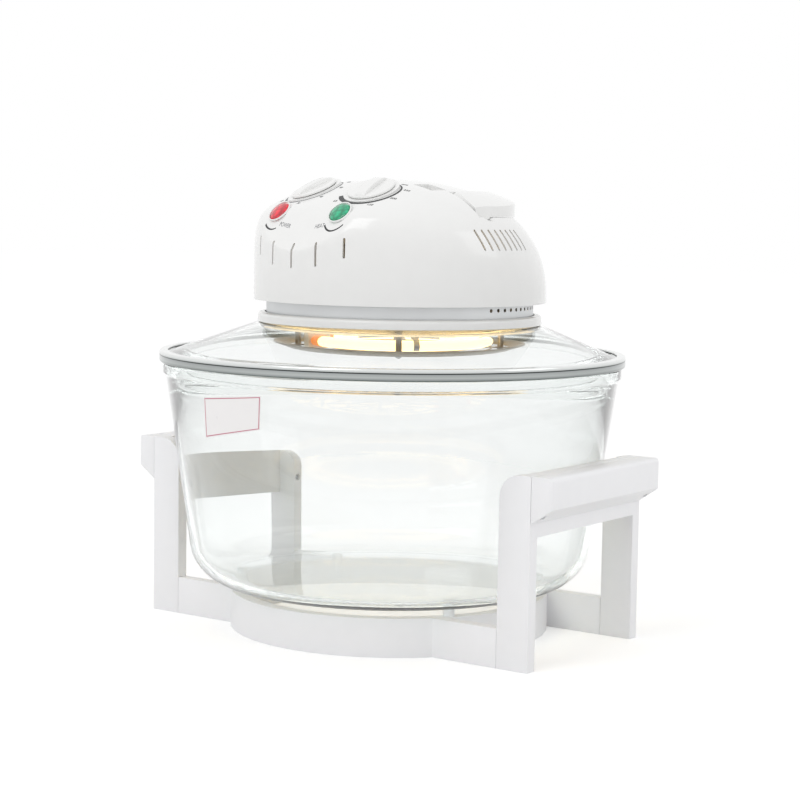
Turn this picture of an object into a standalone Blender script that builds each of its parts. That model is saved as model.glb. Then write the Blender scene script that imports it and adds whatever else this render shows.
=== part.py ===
"""Halogen oven: a countertop cooker with a glass bowl on a stand and a powered lid.

The stand, bowl, lid glass and heating head are separate pieces, as they come apart on a bench.
Metres, +Z up. The origin is the centre of the stand's footprint, and the front looks towards -Y.
"""

from math import asin, atan2, cos, pi, radians, sin, sqrt, tan

import bmesh
import bpy
from mathutils import Matrix, Vector

TURN = 2 * pi
GAP = 0.0003                      # air between two pieces that touch
OVERRUN = 0.004                   # how far a cut runs past the surface it opens
SLACK = 0.0005                    # play round a screw's shaft
SMOOTH_ANGLE = radians(35)

# Stand: a hoop with four arms, and a frame with a grip on each side
HOOP_MARGIN = 0.00175             # from the bowl's flat bottom out to the hoop's edge
HOOP_WALL = 0.009
HOOP_HEIGHT = 0.0265
POST_WIDTH = 0.009
ARM_SHARE = 0.59                  # sideways place of the arms, in hoop radii
POST_CLEAR = 0.0018               # from the bowl's wall to the posts
RAIL_CLEAR = 0.0009               # and to the rails
FRAME_HEIGHT = 0.1285
RAIL_DEPTH = 0.009
RAIL_HEIGHT = 0.0405
FRAME_ROUND = 0.015
TENON_LENGTH = 0.008
TENON_WIDTH = 0.005
TENON_HEIGHT = 0.016
GRIP_DEPTH = 0.0157
GRIP_FACE_HEIGHT = 0.0205
GRIP_HEIGHT = 0.031
GRIP_ROUND = 0.004
GRIP_SCREW_DROP = 0.026           # from the frame's top to the grip's screws
GRIP_SCREW_BITE = 0.009
REST_RADIUS = 0.004
REST_HEIGHT = 0.0052
REST_ANGLE = radians(32)
REST_INSET = 0.0065

# Screws of the stand and of the head
STAND_SCREW_RADIUS = 0.0014
STAND_SCREW_HEAD_RADIUS = 0.0028
STAND_SCREW_HEAD_HEIGHT = 0.0016
STAND_SCREW_SUNK = 0.0004
BORE_FLOOR = 0.0008               # left above a blind bore
SCREW_RADIUS = 0.0012
SCREW_HEAD_RADIUS = 0.0025
SCREW_HEAD_HEIGHT = 0.0016
COVER_SCREW_BITE = 0.009
DRIVE_WIDTH = 0.0008
DRIVE_DEPTH = 0.0007

# Glass bowl
BOWL_RADIUS = 0.1605              # outer wall just below the lip
BOWL_TAPER = 0.145                # how much the wall closes in per unit of depth
BOWL_HEIGHT = 0.1566
BOWL_WALL = 0.0055
BOWL_CORNER = 0.031
LIP_FLARE = 0.002                 # how far the lip stands out past the wall
LIP_LOW = 0.0071                  # depth of the lip's underside below the rim
LIP_HIGH = 0.0016
LIP_BLEND = 0.0018

# Glass lid and its steel band
LID_OVERHANG = 0.0014             # how far the lid's edge stands out past the lip
LID_EDGE = 0.0058
LID_LEDGE = 0.0074                # flat edge that the band grips
LID_RISE = 0.0212                 # from the shoulder to the land under the head
LID_GLASS = 0.005
LAND_MARGIN = 0.001               # from the base's outside in to the edge of the land
HOLE_MARGIN = 0.002               # from the seal in to the glass's hole
LID_LIP_CLEAR = 0.0045            # from the bowl's inside to the lid's inner lip
LID_LIP_WALL = 0.004
LID_LIP_DEPTH = 0.0095
BAND_SHEET = 0.0008
BAND_LIP = 0.006

# Head: it sits a little back from the lid's middle and turned to one side
HEAD_TURN = radians(-9.5)
HEAD_SETBACK = 0.0065
SEAL_MARGIN = 0.005               # from the base's outside in to the seal
SEAL_WIDTH = 0.010
SEAL_HEIGHT = 0.0014
BASE_RADIUS = 0.101
BASE_HEIGHT = 0.0067
BASE_DECK = 0.003
BASE_SHELF = 0.0055               # from the guard's lugs in to the base's hole
BASE_LIP = 0.0048
BASE_BEVEL = 0.0025
CLAMP_MARGIN = 0.0022             # from the screws' middle in to the ring's edge
CLAMP_SHEET = 0.0015
LUG_RADIUS = 0.003
STANDOFF_RADIUS = 0.005
SCREW_MARGIN = 0.004              # from the glass's hole in to the screws' middle
SCREW_ANGLE = radians(45)
VENT_HEIGHT = 0.0108              # air gap between the base and the cover
COLLAR_MARGIN = 0.006             # from the base's outside in to the collar
COLLAR_SHEET = 0.0012
COLLAR_OVERLAP = 0.0017
COLLAR_HOLE_RADIUS = 0.00175
COLLAR_HOLE_COUNT = 24
COLLAR_HOLE_SIDES = 6
COLLAR_HOLE_Z = 0.0077

# Hot side: reflector, lamp, guard and fan
PAN_SHEET = 0.001
PAN_DEPTH = 0.0025
PAN_BORE = 0.0055
PAN_DROP = 0.0005                 # from the glass's underside to the pan
LAMP_MARGIN = 0.015               # from the pan's edge in to the tube's middle
LAMP_RADIUS = 0.005
LAMP_DROP = 0.011                 # from the pan's plate to the tube's middle
LAMP_SWEEP = radians(318)
LAMP_START = radians(-24)
HOLDER_WIDTH = 0.014
HOLDER_LENGTH = 0.010
HOLDER_WALL = 0.003
CLIP_WIDTH = 0.004
CLIP_SHEET = 0.0008
CLIP_OPEN = radians(100)
CLIP_STEM = 0.003
CLIP_SHARES = (0.25, 0.5, 0.75)
GUARD_OVERHANG = 0.013            # from the pan's edge out to the guard's rim
GUARD_SHEET = 0.0012
GUARD_BAR = 0.0026
GUARD_RING = 0.0018
GUARD_RIM_RISE = 0.005
GUARD_SLOPE = 0.010               # width of the guard's raised rim
GUARD_INNER_RADIUS = 0.012
GUARD_RINGS = 5
GUARD_BARS = 8
GUARD_TAB = 0.0085
POST_MARGIN = 0.0045              # from the pan's edge in to the guard's posts
GUARD_POST_RADIUS = 0.0022
GUARD_POST_LENGTH = 0.0168
GUARD_STUD_RADIUS = 0.001
GUARD_STUD_LENGTH = 0.0042
FAN_MARGIN = 0.022                # from the tube's middle in to the blades
FAN_HUB = 0.006
FAN_HEIGHT = 0.006
FAN_SHEET = 0.001
FAN_BLADES = 8
FAN_DROP = 0.0015
FAN_NUT_RADIUS = 0.0045
FAN_NUT_HEIGHT = 0.0032
SHAFT_RADIUS = 0.0023
SHAFT_END = 0.001

# Motor and what stands on the base's deck
COOLER_RADIUS = 0.035
COOLER_HEIGHT = 0.008
COOLER_LIFT = 0.006
COOLER_BLADES = 10
BRACKET_SPREAD = 0.026            # how far the bracket's legs lean out
BRACKET_FOOT = 0.014
BRACKET_WIDTH = 0.024
BRACKET_SHEET = 0.0015
BRACKET_RISE = 0.024
CORE_WIDTH = 0.040
CORE_FRONT = 0.036
CORE_BACK = 0.018
CORE_HEIGHT = 0.026
CORE_LIMB = 0.010
CORE_WINDOW = 0.008
CORE_WINDOW_WIDTH = 0.027
COIL_WALL = 0.0032
COIL_LENGTH = 0.023
TERMINAL_SIZE = (0.028, 0.012, 0.010)
TERMINAL_MARGIN = 0.022           # from the collar in to the block's middle
TERMINAL_WAYS = 3
TERMINAL_WELL = 0.0025
TERMINAL_WELL_DEPTH = 0.004
CUTOUT_RADIUS = 0.0075
CUTOUT_HEIGHT = 0.007
CUTOUT_SHARES = (0.678, 0.274)

# Cover of the head
DOME_OVERHANG = 0.003             # how far the cover stands out past the base
DOME_HEIGHT = 0.082
DOME_SKIRT = 0.0032
DOME_WALL = 0.0025
DOME_RINGS = 10
DOME_SEGMENTS = 40
FRONT_POWER = 7.4                 # how square the dome's side is at the front
BACK_POWER = 1.8                  # and at the back
RING_POWER = 2.2                  # packs the dome's rings towards its edge
PANEL_TILT = radians(24)
PANEL_Z = 0.0737                  # height of the dial panel above the dome's base, at the dials
PANEL_CROWN = 0.303               # radius of the panel's slight crown from side to side
PANEL_BLEND = 0.004
BROW_TILT = radians(60)
BROW_Z = 0.0600                    # height of the lamp brow above the dome's base, at the lamps
BROW_BLEND = 0.008
COVER_BOSS_RADIUS = 0.005

# Dials, their controls and the lamps
DIAL_X_SHARE = 0.276              # these shares are of the cover's radius
DIAL_Y_SHARE = 0.55
DIAL_SPLAY = radians(12)
SEAT_SHARE = 0.1875
SEAT_PROUD = 0.0004
SEAT_DEPTH = 0.0065
KNOB_SHARE = 0.1587
KNOB_HEIGHT = 0.0018
KNOB_ROUND = 0.0008
KNOB_CLEAR = 0.0004
KNOB_GRIP_WIDTH = 0.0085
KNOB_GRIP_HEIGHT = 0.0032
KNOB_BORE_DEPTH = 0.0034
SPINDLE_RADIUS = 0.0025
SPINDLE_SUNK = 0.012
CONTROL_SHARE = 0.1635
CONTROL_DEPTH_SHARE = 0.2212
BUSH_RADIUS = 0.0048
LAMP_X_SHARE = 0.2933
LAMP_Y_SHARE = 0.8462
LENS_SHARE = 0.075
LENS_HEIGHT = 0.0042
LENS_PROUD = 0.0016
LENS_STEM_RADIUS = 0.0045
LENS_STEM_LENGTH = 0.016
LENS_SEAT_SHARE = 0.0981
LENS_FLOOR = 0.002
LENS_RING_SHARES = (1, 0.8, 0.55, 0.28, 0)

# Air slots of the cover
FRONT_SLOT_WIDTH = 0.0018
FRONT_SLOT_STEP = radians(12)
FRONT_SLOT_LENGTH_SHARES = (0.80, 0.97, 1.0, 0.97, 0.80)
FRONT_SLOT_RISE_SHARES = (0.40, 0.09, 0.0, 0.09, 0.40)
FRONT_SLOT_LENGTH = 0.017
FRONT_SLOT_Z = 0.029
FRONT_SLOT_RISE = 0.015
SIDE_SLOT_COUNT = 8
SIDE_SLOT_FIRST = radians(77)
SIDE_SLOT_STEP = radians(3.6)
SIDE_SLOT_WIDTH = 0.0016
SIDE_SLOT_LENGTH = 0.016
SIDE_SLOT_Z = 0.0415
SIDE_SLOT_LEAN = radians(-28)
SLOT_REACH = 0.016

# Folding carry handle
HANDLE_WIDTH = 0.0235
HANDLE_INSET = 0.0185             # from the dome's side in to the handle's arms
HANDLE_BACK_INSET = 0.030         # and to its back
HANDLE_LOW = 0.0572               # height of the handle's underside above the dome's base
HANDLE_POWER = 4.6
HANDLE_PIVOT_Y = -0.005
HANDLE_PIVOT_Z = 0.0645
HANDLE_END = 0.0098
CHANNEL_CLEAR = 0.0005
HANDLE_SIDE_CLEAR = 0.0007
PIN_RADIUS = 0.0025
PIN_HEAD_RADIUS = 0.0045
PIN_HEAD_HEIGHT = 0.0018
PIN_REACH = 0.013
POCKET_X_SHARE = 0.3846
POCKET_WIDTH_SHARE = 0.1731
POCKET_FRONT_SHARE = 0.2788
POCKET_BACK = 0.014
POCKET_FLOOR = 0.067

# Safety switch under the handle, and the cord's gland
SWITCH_SIZE = (0.016, 0.012, 0.0109)
SWITCH_Y = 0.014
PLUNGER_RADIUS = 0.002
PLUNGER_SUNK = 0.005
GLAND_Z = 0.0085
GLAND_SEAT_RADIUS = 0.0105
GLAND_SEAT_DEPTH = 0.0078
GLAND_SEAT_PROUD = 0.0006
GLAND_FLANGE = 0.009
GLAND_FLANGE_THICK = 0.0027
GLAND_NECK = 0.0066
GLAND_BUSH = 0.0075
GLAND_BUSH_LENGTH = 0.006
GLAND_BORE = 0.0052
GLAND_CLEAR = 0.0004

# Mesh fineness
FINE = 40
COARSE = 16
SMALL = 10
HEXAGON = 6
CORNER_STEPS = 5
BLEND_STEPS = 3

# Plan, from the bowl's wall outwards
WALL_HEIGHT = BOWL_HEIGHT - LIP_LOW - LIP_BLEND - BOWL_CORNER
BOWL_LEAN = atan2(BOWL_TAPER, 1)
BOWL_FLAT = BOWL_RADIUS - BOWL_TAPER * WALL_HEIGHT - BOWL_CORNER / cos(BOWL_LEAN)
LIP_RADIUS = BOWL_RADIUS + LIP_FLARE
LID_RADIUS = LIP_RADIUS + LID_OVERHANG
LID_SHOULDER = LID_RADIUS - LID_LEDGE
LID_LIP_RADIUS = BOWL_RADIUS - BOWL_WALL - LID_LIP_CLEAR
LID_INNER_RADIUS = LID_LIP_RADIUS - LID_LIP_WALL
HOOP_RADIUS = BOWL_FLAT + HOOP_MARGIN
ARM_Y = HOOP_RADIUS * ARM_SHARE

# Plan of the head, from its base inwards and outwards
LAND_RADIUS = BASE_RADIUS - LAND_MARGIN
SEAL_OUTER = BASE_RADIUS - SEAL_MARGIN
SEAL_INNER = SEAL_OUTER - SEAL_WIDTH
LID_HOLE = SEAL_INNER - HOLE_MARGIN
SCREW_CIRCLE = LID_HOLE - SCREW_MARGIN
CLAMP_INNER = SCREW_CIRCLE - CLAMP_MARGIN
PAN_RADIUS = SCREW_CIRCLE - LUG_RADIUS
GUARD_POST_CIRCLE = PAN_RADIUS - POST_MARGIN
BASE_HOLE = GUARD_POST_CIRCLE - LUG_RADIUS - BASE_SHELF
GUARD_RADIUS = PAN_RADIUS + GUARD_OVERHANG
GUARD_FLAT_RADIUS = GUARD_RADIUS - GUARD_SLOPE
LAMP_CIRCLE = PAN_RADIUS - LAMP_MARGIN
FAN_RADIUS = LAMP_CIRCLE - FAN_MARGIN
COLLAR_RADIUS = BASE_RADIUS - COLLAR_MARGIN
TERMINAL_Y = COLLAR_RADIUS - TERMINAL_MARGIN
BRACKET_HALF = SCREW_CIRCLE
BRACKET_TOP_HALF = BRACKET_HALF - BRACKET_FOOT - BRACKET_SPREAD
DOME_RADIUS = BASE_RADIUS + DOME_OVERHANG
DIAL_X = DOME_RADIUS * DIAL_X_SHARE
DIAL_Y = DOME_RADIUS * DIAL_Y_SHARE
SEAT_RADIUS = DOME_RADIUS * SEAT_SHARE
KNOB_RADIUS = DOME_RADIUS * KNOB_SHARE
CONTROL_RADIUS = DOME_RADIUS * CONTROL_SHARE
CONTROL_DEPTH = DOME_RADIUS * CONTROL_DEPTH_SHARE
LAMP_X = DOME_RADIUS * LAMP_X_SHARE
LAMP_Y = DOME_RADIUS * LAMP_Y_SHARE
LENS_RADIUS = DOME_RADIUS * LENS_SHARE
LENS_SEAT_RADIUS = DOME_RADIUS * LENS_SEAT_SHARE
POCKET_X = DOME_RADIUS * POCKET_X_SHARE
POCKET_WIDTH = DOME_RADIUS * POCKET_WIDTH_SHARE
POCKET_FRONT = DOME_RADIUS * POCKET_FRONT_SHARE
CUTOUT_X = DOME_RADIUS * CUTOUT_SHARES[0]
CUTOUT_Y = DOME_RADIUS * CUTOUT_SHARES[1]
HANDLE_OUTER = DOME_RADIUS - HANDLE_INSET
HANDLE_INNER = HANDLE_OUTER - HANDLE_WIDTH
HANDLE_BACK = DOME_RADIUS - HANDLE_BACK_INSET
SWITCH_X = -HANDLE_INNER - HANDLE_END

# Levels, from the table up
REST_TOP = HOOP_HEIGHT + REST_HEIGHT
BOWL_LOW = REST_TOP + GAP
RIM = BOWL_LOW + BOWL_HEIGHT
BAND_LOW = RIM + GAP
LID_LOW = BAND_LOW + BAND_SHEET + GAP
LID_EDGE_TOP = LID_LOW + LID_EDGE
BAND_TOP = LID_EDGE_TOP + GAP + BAND_SHEET
BAND_RADIUS = LID_RADIUS + GAP + BAND_SHEET
LAND = LID_EDGE_TOP + LID_RISE
LAND_UNDER = LAND - LID_GLASS
SEAL_TOP = LAND + GAP + SEAL_HEIGHT
DECK_LOW = SEAL_TOP + GAP
DECK = DECK_LOW + BASE_DECK
BASE_LOW = LAND + GAP
BASE_TOP = BASE_LOW + BASE_HEIGHT
COVER_LOW = DECK + VENT_HEIGHT
DOME_LOW = COVER_LOW + DOME_SKIRT
DOME_TOP = DOME_LOW + DOME_HEIGHT
CLAMP_TOP = LAND_UNDER - GAP
PAN_TOP = LAND_UNDER - PAN_DROP
PAN_LOW = PAN_TOP - PAN_SHEET
LAMP_Z = PAN_LOW - LAMP_DROP
POST_LOW = PAN_LOW - GAP - GUARD_POST_LENGTH
GUARD_TOP = POST_LOW - GAP
GUARD_LOW = GUARD_TOP - GUARD_SHEET
FAN_TOP = PAN_LOW - FAN_DROP
FAN_LOW = FAN_TOP - FAN_HEIGHT
FAN_NUT_TOP = FAN_LOW - GAP
FAN_NUT_LOW = FAN_NUT_TOP - FAN_NUT_HEIGHT
SHAFT_LOW = FAN_NUT_LOW - SHAFT_END
COOLER_LOW = DECK + COOLER_LIFT
BRACKET_LOW = DECK + GAP
BRACKET_TOP = BRACKET_LOW + BRACKET_RISE
CORE_LOW = BRACKET_TOP + GAP
CORE_TOP = CORE_LOW + CORE_HEIGHT
SHAFT_TOP = CORE_TOP + SHAFT_RADIUS
CHANNEL_LOW = DOME_LOW + HANDLE_LOW - CHANNEL_CLEAR
PIVOT = Vector((0, HANDLE_PIVOT_Y, DOME_LOW + HANDLE_PIVOT_Z))
CHANNEL_INNER = HANDLE_INNER - HANDLE_SIDE_CLEAR
END_CLEAR = HANDLE_END + CHANNEL_CLEAR
RAIL_LOW = FRAME_HEIGHT - RAIL_HEIGHT
GRIP_FACE_LOW = FRAME_HEIGHT - GRIP_FACE_HEIGHT
GRIP_ROOT_LOW = FRAME_HEIGHT - GRIP_HEIGHT
GRIP_SCREW_Z = FRAME_HEIGHT - GRIP_SCREW_DROP
WALL_TOP = RIM - LIP_LOW - LIP_BLEND
RAIL_X = BOWL_RADIUS - BOWL_TAPER * (WALL_TOP - FRAME_HEIGHT) + RAIL_CLEAR
POST_REACH = BOWL_RADIUS - BOWL_TAPER * (WALL_TOP - FRAME_HEIGHT + FRAME_ROUND)
FRAME_X = sqrt(POST_REACH ** 2 - (ARM_Y - POST_WIDTH / 2) ** 2) + POST_CLEAR
FRAME_BACK = RAIL_X + RAIL_DEPTH
FRAME_DEPTH = FRAME_BACK - FRAME_X
GRIP_X = FRAME_BACK + GAP
GRIP_BACK = GRIP_X + GRIP_DEPTH
TENON_LOW = (HOOP_HEIGHT - TENON_HEIGHT) / 2
HEAD_PLACE = Vector((-HEAD_SETBACK * sin(HEAD_TURN), HEAD_SETBACK * cos(HEAD_TURN), 0))

FINISHES = {
    "satin_white_plastic": ((0.80, 0.80, 0.79), 0.45, 0.0),
    "gloss_white_plastic": ((0.84, 0.84, 0.83), 0.20, 0.0),
    "clear_glass": ((0.80, 0.88, 0.84), 0.05, 0.0),
    "polished_steel": ((0.72, 0.72, 0.73), 0.18, 1.0),
    "bright_zinc": ((0.62, 0.62, 0.64), 0.35, 1.0),
    "bright_aluminium": ((0.78, 0.78, 0.79), 0.25, 1.0),
    "grey_silicone": ((0.45, 0.45, 0.45), 0.70, 0.0),
    "white_ceramic": ((0.82, 0.80, 0.76), 0.60, 0.0),
    "lamp_quartz": ((0.95, 0.62, 0.20), 0.10, 0.0),
    "black_plastic": ((0.03, 0.03, 0.03), 0.50, 0.0),
    "silicon_steel": ((0.30, 0.30, 0.32), 0.45, 1.0),
    "coil_tape": ((0.55, 0.20, 0.08), 0.55, 0.0),
    "red_lens": ((0.55, 0.01, 0.02), 0.12, 0.0),
    "green_lens": ((0.02, 0.32, 0.20), 0.12, 0.0),
}


def clear_scene():
    """Remove every object of the open scene."""
    for item in list(bpy.data.objects):
        bpy.data.objects.remove(item, do_unlink=True)


def finish_material(name):
    """Return the plain material of a finish, made on its first use."""
    material = bpy.data.materials.get(name)
    if material:
        return material
    color, roughness, metallic = FINISHES[name]
    material = bpy.data.materials.new(name)
    material.use_nodes = True
    surface = material.node_tree.nodes["Principled BSDF"]
    surface.inputs["Base Color"].default_value = (*color, 1)
    surface.inputs["Roughness"].default_value = roughness
    surface.inputs["Metallic"].default_value = metallic
    return material


def publish(name, shape, finish, parent=None):
    """Turn a finished shape into a named object with its own material."""
    bmesh.ops.recalc_face_normals(shape, faces=shape.faces)
    mesh = bpy.data.meshes.new(name)
    shape.to_mesh(mesh)
    shape.free()
    mesh.materials.append(finish_material(finish))
    mesh.shade_smooth()
    mesh.set_sharp_from_angle(angle=SMOOTH_ANGLE)
    return place(name, mesh, Matrix.Identity(4), parent)


def place(name, mesh, matrix, parent=None):
    """Link an object that shows a mesh at a place of its own."""
    item = bpy.data.objects.new(name, mesh)
    item.parent = parent
    item.matrix_local = matrix
    bpy.context.scene.collection.objects.link(item)
    return item


def publish_copies(name, shape, finish, matrices, parent=None):
    """Publish one piece several times, numbered, at the given places."""
    first = publish(name + "_1", shape, finish, parent)
    first.matrix_local = matrices[0]
    for index, matrix in enumerate(matrices[1:], 2):
        place(f"{name}_{index}", first.data, matrix, parent)


def empty(name, matrix, parent=None):
    """Return an empty that carries pieces at a place and turn of their own."""
    return place(name, None, matrix, parent)


def joined(*shapes):
    """Return one shape that holds several separate solids."""
    whole = bmesh.new()
    for shape in shapes:
        mesh = bpy.data.meshes.new("piece")
        shape.to_mesh(mesh)
        shape.free()
        whole.from_mesh(mesh)
        bpy.data.meshes.remove(mesh)
    return whole


def moved(shape, matrix):
    """Return the shape after a move."""
    bmesh.ops.transform(shape, matrix=matrix, verts=shape.verts)
    return shape


def combined(shape, tool, operation):
    """Return the exact Boolean of two shapes; both are used up."""
    items = []
    for part in (shape, tool):
        bmesh.ops.recalc_face_normals(part, faces=part.faces)
        mesh = bpy.data.meshes.new("operand")
        part.to_mesh(mesh)
        part.free()
        item = bpy.data.objects.new("operand", mesh)
        bpy.context.scene.collection.objects.link(item)
        items.append(item)
    modifier = items[0].modifiers.new("Boolean", "BOOLEAN")
    modifier.object = items[1]
    modifier.operation = operation
    result = bmesh.new()
    result.from_object(items[0], bpy.context.evaluated_depsgraph_get())
    bmesh.ops.dissolve_degenerate(result, dist=GAP / 100, edges=result.edges)
    for item in items:
        bpy.data.meshes.remove(item.data)
    return result


def cut(shape, *tools):
    """Return the shape with the tools taken away, one after the other."""
    for tool in tools:
        shape = combined(shape, tool, "DIFFERENCE")
    return shape


def fused(shape, *others):
    """Return the shape grown together with the others."""
    for other in others:
        shape = combined(shape, other, "UNION")
    return shape


def turned(outline, segments=FINE):
    """Spin an outline of (radius, height) points about Z into a closed solid."""
    shape = bmesh.new()
    points = [shape.verts.new((radius, 0, height)) for radius, height in outline]
    edges = [shape.edges.new(pair) for pair in zip(points, points[1:])]
    if outline[0][0] > 0 or outline[-1][0] > 0:
        edges.append(shape.edges.new((points[-1], points[0])))
    bmesh.ops.spin(shape, geom=points + edges, cent=(0, 0, 0), axis=(0, 0, 1), dvec=(0, 0, 0),
                   angle=TURN, steps=segments, use_merge=True, use_duplicate=False)
    bmesh.ops.remove_doubles(shape, verts=shape.verts, dist=GAP / 100)
    return shape


def ring(inner, outer, low, high, segments=FINE):
    """Return a flat-ended ring about Z."""
    return turned([(inner, low), (outer, low), (outer, high), (inner, high)], segments)


def rod(radius, low, high, segments=COARSE, spot=(0, 0)):
    """Return an upright cylinder."""
    shape = turned([(0, low), (radius, low), (radius, high), (0, high)], segments)
    return moved(shape, Matrix.Translation((*spot, 0)))


def prism(points, low, high):
    """Return an upright prism on a polygon of (x, y) points."""
    shape = bmesh.new()
    face = shape.faces.new([shape.verts.new((x, y, low)) for x, y in points])
    grown = bmesh.ops.extrude_face_region(shape, geom=[face])["geom"]
    rim = [item for item in grown if isinstance(item, bmesh.types.BMVert)]
    bmesh.ops.translate(shape, verts=rim, vec=(0, 0, high - low))
    bmesh.ops.recalc_face_normals(shape, faces=shape.faces)
    return shape


def box(low, high):
    """Return a box between two corners."""
    corners = [(low[0], low[1]), (high[0], low[1]), (high[0], high[1]), (low[0], high[1])]
    return prism(corners, low[2], high[2])


def fractions(span, steps):
    """Return evenly spaced values from zero to a span, both ends included."""
    return [span * step / steps for step in range(steps + 1)]


def arc(x, y, radius, start, end, steps):
    """Return the points of an arc in a plane, both ends included."""
    return [(x + radius * cos(start + turn), y + radius * sin(start + turn))
            for turn in fractions(end - start, steps)]


def polar(radius, angle):
    """Return the place at a radius and an angle measured from the front."""
    return radius * sin(angle), -radius * cos(angle)


def around(radius, start, count=4):
    """Return evenly spaced places on a circle."""
    return [polar(radius, start + TURN * index / count) for index in range(count)]


def screw(radius, head_radius, head_height, length):
    """Return a screw that points up from the origin, with its slotted head below."""
    outline = [(0, -head_height), (head_radius, -head_height), (head_radius, 0), (radius, 0),
               (radius, length), (0, length)]
    slot = box((-head_radius * 2, -DRIVE_WIDTH / 2, -head_height - OVERRUN),
               (head_radius * 2, DRIVE_WIDTH / 2, DRIVE_DEPTH - head_height))
    return cut(turned(outline, SMALL), slot)


def upright(places, level):
    """Return the moves to places at one level."""
    return [Matrix.Translation((x, y, level)) for x, y in places]


def facing(direction):
    """Return the turn that lays +Z along a direction."""
    return Vector(direction).to_track_quat("Z", "Y").to_matrix().to_4x4()


def arm_places():
    """Return the signs of the four corners of the stand."""
    return [(side, front) for side in (-1, 1) for front in (-1, 1)]


def stand_base():
    """The hoop under the bowl, with four arms that end in tenons."""
    shape = ring(HOOP_RADIUS - HOOP_WALL, HOOP_RADIUS, 0, HOOP_HEIGHT)
    middle = HOOP_RADIUS - HOOP_WALL / 2
    start = sqrt(middle ** 2 - ARM_Y ** 2)
    for side, front in arm_places():
        y = front * ARM_Y
        arm = box((start, y - POST_WIDTH / 2, 0), (FRAME_X - GAP, y + POST_WIDTH / 2, HOOP_HEIGHT))
        tenon = box((FRAME_X - GAP - OVERRUN, y - TENON_WIDTH / 2, TENON_LOW),
                    (FRAME_X + TENON_LENGTH, y + TENON_WIDTH / 2, TENON_LOW + TENON_HEIGHT))
        bore = rod(STAND_SCREW_RADIUS + SLACK, TENON_LOW - OVERRUN, TENON_LOW + TENON_HEIGHT - BORE_FLOOR,
                   SMALL, (FRAME_X + TENON_LENGTH / 2, y))
        arm = cut(fused(arm, tenon), bore)
        shape = fused(shape, moved(arm, Matrix.Scale(side, 4, (1, 0, 0))))
    radius = HOOP_RADIUS - REST_INSET
    for side, front in arm_places():
        spot = (side * radius * cos(REST_ANGLE), front * radius * sin(REST_ANGLE))
        shape = fused(shape, rod(REST_RADIUS, HOOP_HEIGHT / 2, REST_TOP, COARSE, spot))
    publish("stand_base", shape, "satin_white_plastic")


def mirrored(shape, side):
    """Return the shape as made for the right side, or turned half round for the left."""
    return moved(shape, Matrix.Rotation(0 if side > 0 else pi, 4, "Z"))


def across(radius, low, high, y, z, segments=COARSE):
    """Return a cylinder along X."""
    turn = Matrix.Translation((0, y, z)) @ Matrix.Rotation(pi / 2, 4, "Y")
    return moved(rod(radius, low, high, segments), turn)


def side_frame(name, side):
    """Two posts joined by a rail: one moulding on each side of the bowl."""
    half = ARM_Y + POST_WIDTH / 2
    profile = [(FRAME_X, 0), (FRAME_BACK, 0), (FRAME_BACK, FRAME_HEIGHT)]
    profile += arc(FRAME_X + FRAME_ROUND, FRAME_HEIGHT - FRAME_ROUND, FRAME_ROUND, pi / 2, pi, CORNER_STEPS)
    lay = Matrix.Translation((0, half, 0)) @ Matrix.Rotation(pi / 2, 4, "X")
    shape = moved(prism(profile, 0, 2 * half), lay)
    inner = ARM_Y - POST_WIDTH / 2
    window = box((FRAME_X - OVERRUN, -inner, -OVERRUN), (FRAME_BACK + OVERRUN, inner, RAIL_LOW))
    hollow = box((FRAME_X - OVERRUN, -inner, RAIL_LOW - OVERRUN),
                 (RAIL_X, inner, FRAME_HEIGHT + OVERRUN))
    shape = cut(shape, window, hollow)
    for front in (-1, 1):
        y = front * ARM_Y
        half_slot = TENON_WIDTH / 2 + GAP
        mortise = box((FRAME_X - OVERRUN, y - half_slot, TENON_LOW - GAP),
                      (FRAME_X + TENON_LENGTH + GAP, y + half_slot, TENON_LOW + TENON_HEIGHT + GAP))
        foot = STAND_SCREW_SUNK + STAND_SCREW_HEAD_HEIGHT
        spot = (FRAME_X + TENON_LENGTH / 2, y)
        head_recess = rod(STAND_SCREW_HEAD_RADIUS + GAP, -OVERRUN, foot + GAP, COARSE, spot)
        shaft_hole = rod(STAND_SCREW_RADIUS + SLACK, foot, TENON_LOW, SMALL, spot)
        grip_recess = across(STAND_SCREW_HEAD_RADIUS + GAP, FRAME_X - OVERRUN, FRAME_X + foot + GAP,
                             y, GRIP_SCREW_Z)
        grip_hole = across(STAND_SCREW_RADIUS + SLACK, FRAME_X + foot, FRAME_BACK + OVERRUN, y, GRIP_SCREW_Z,
                           SMALL)
        shape = cut(shape, mortise, head_recess, shaft_hole, grip_recess, grip_hole)
    publish(name, mirrored(shape, side), "satin_white_plastic")


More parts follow.
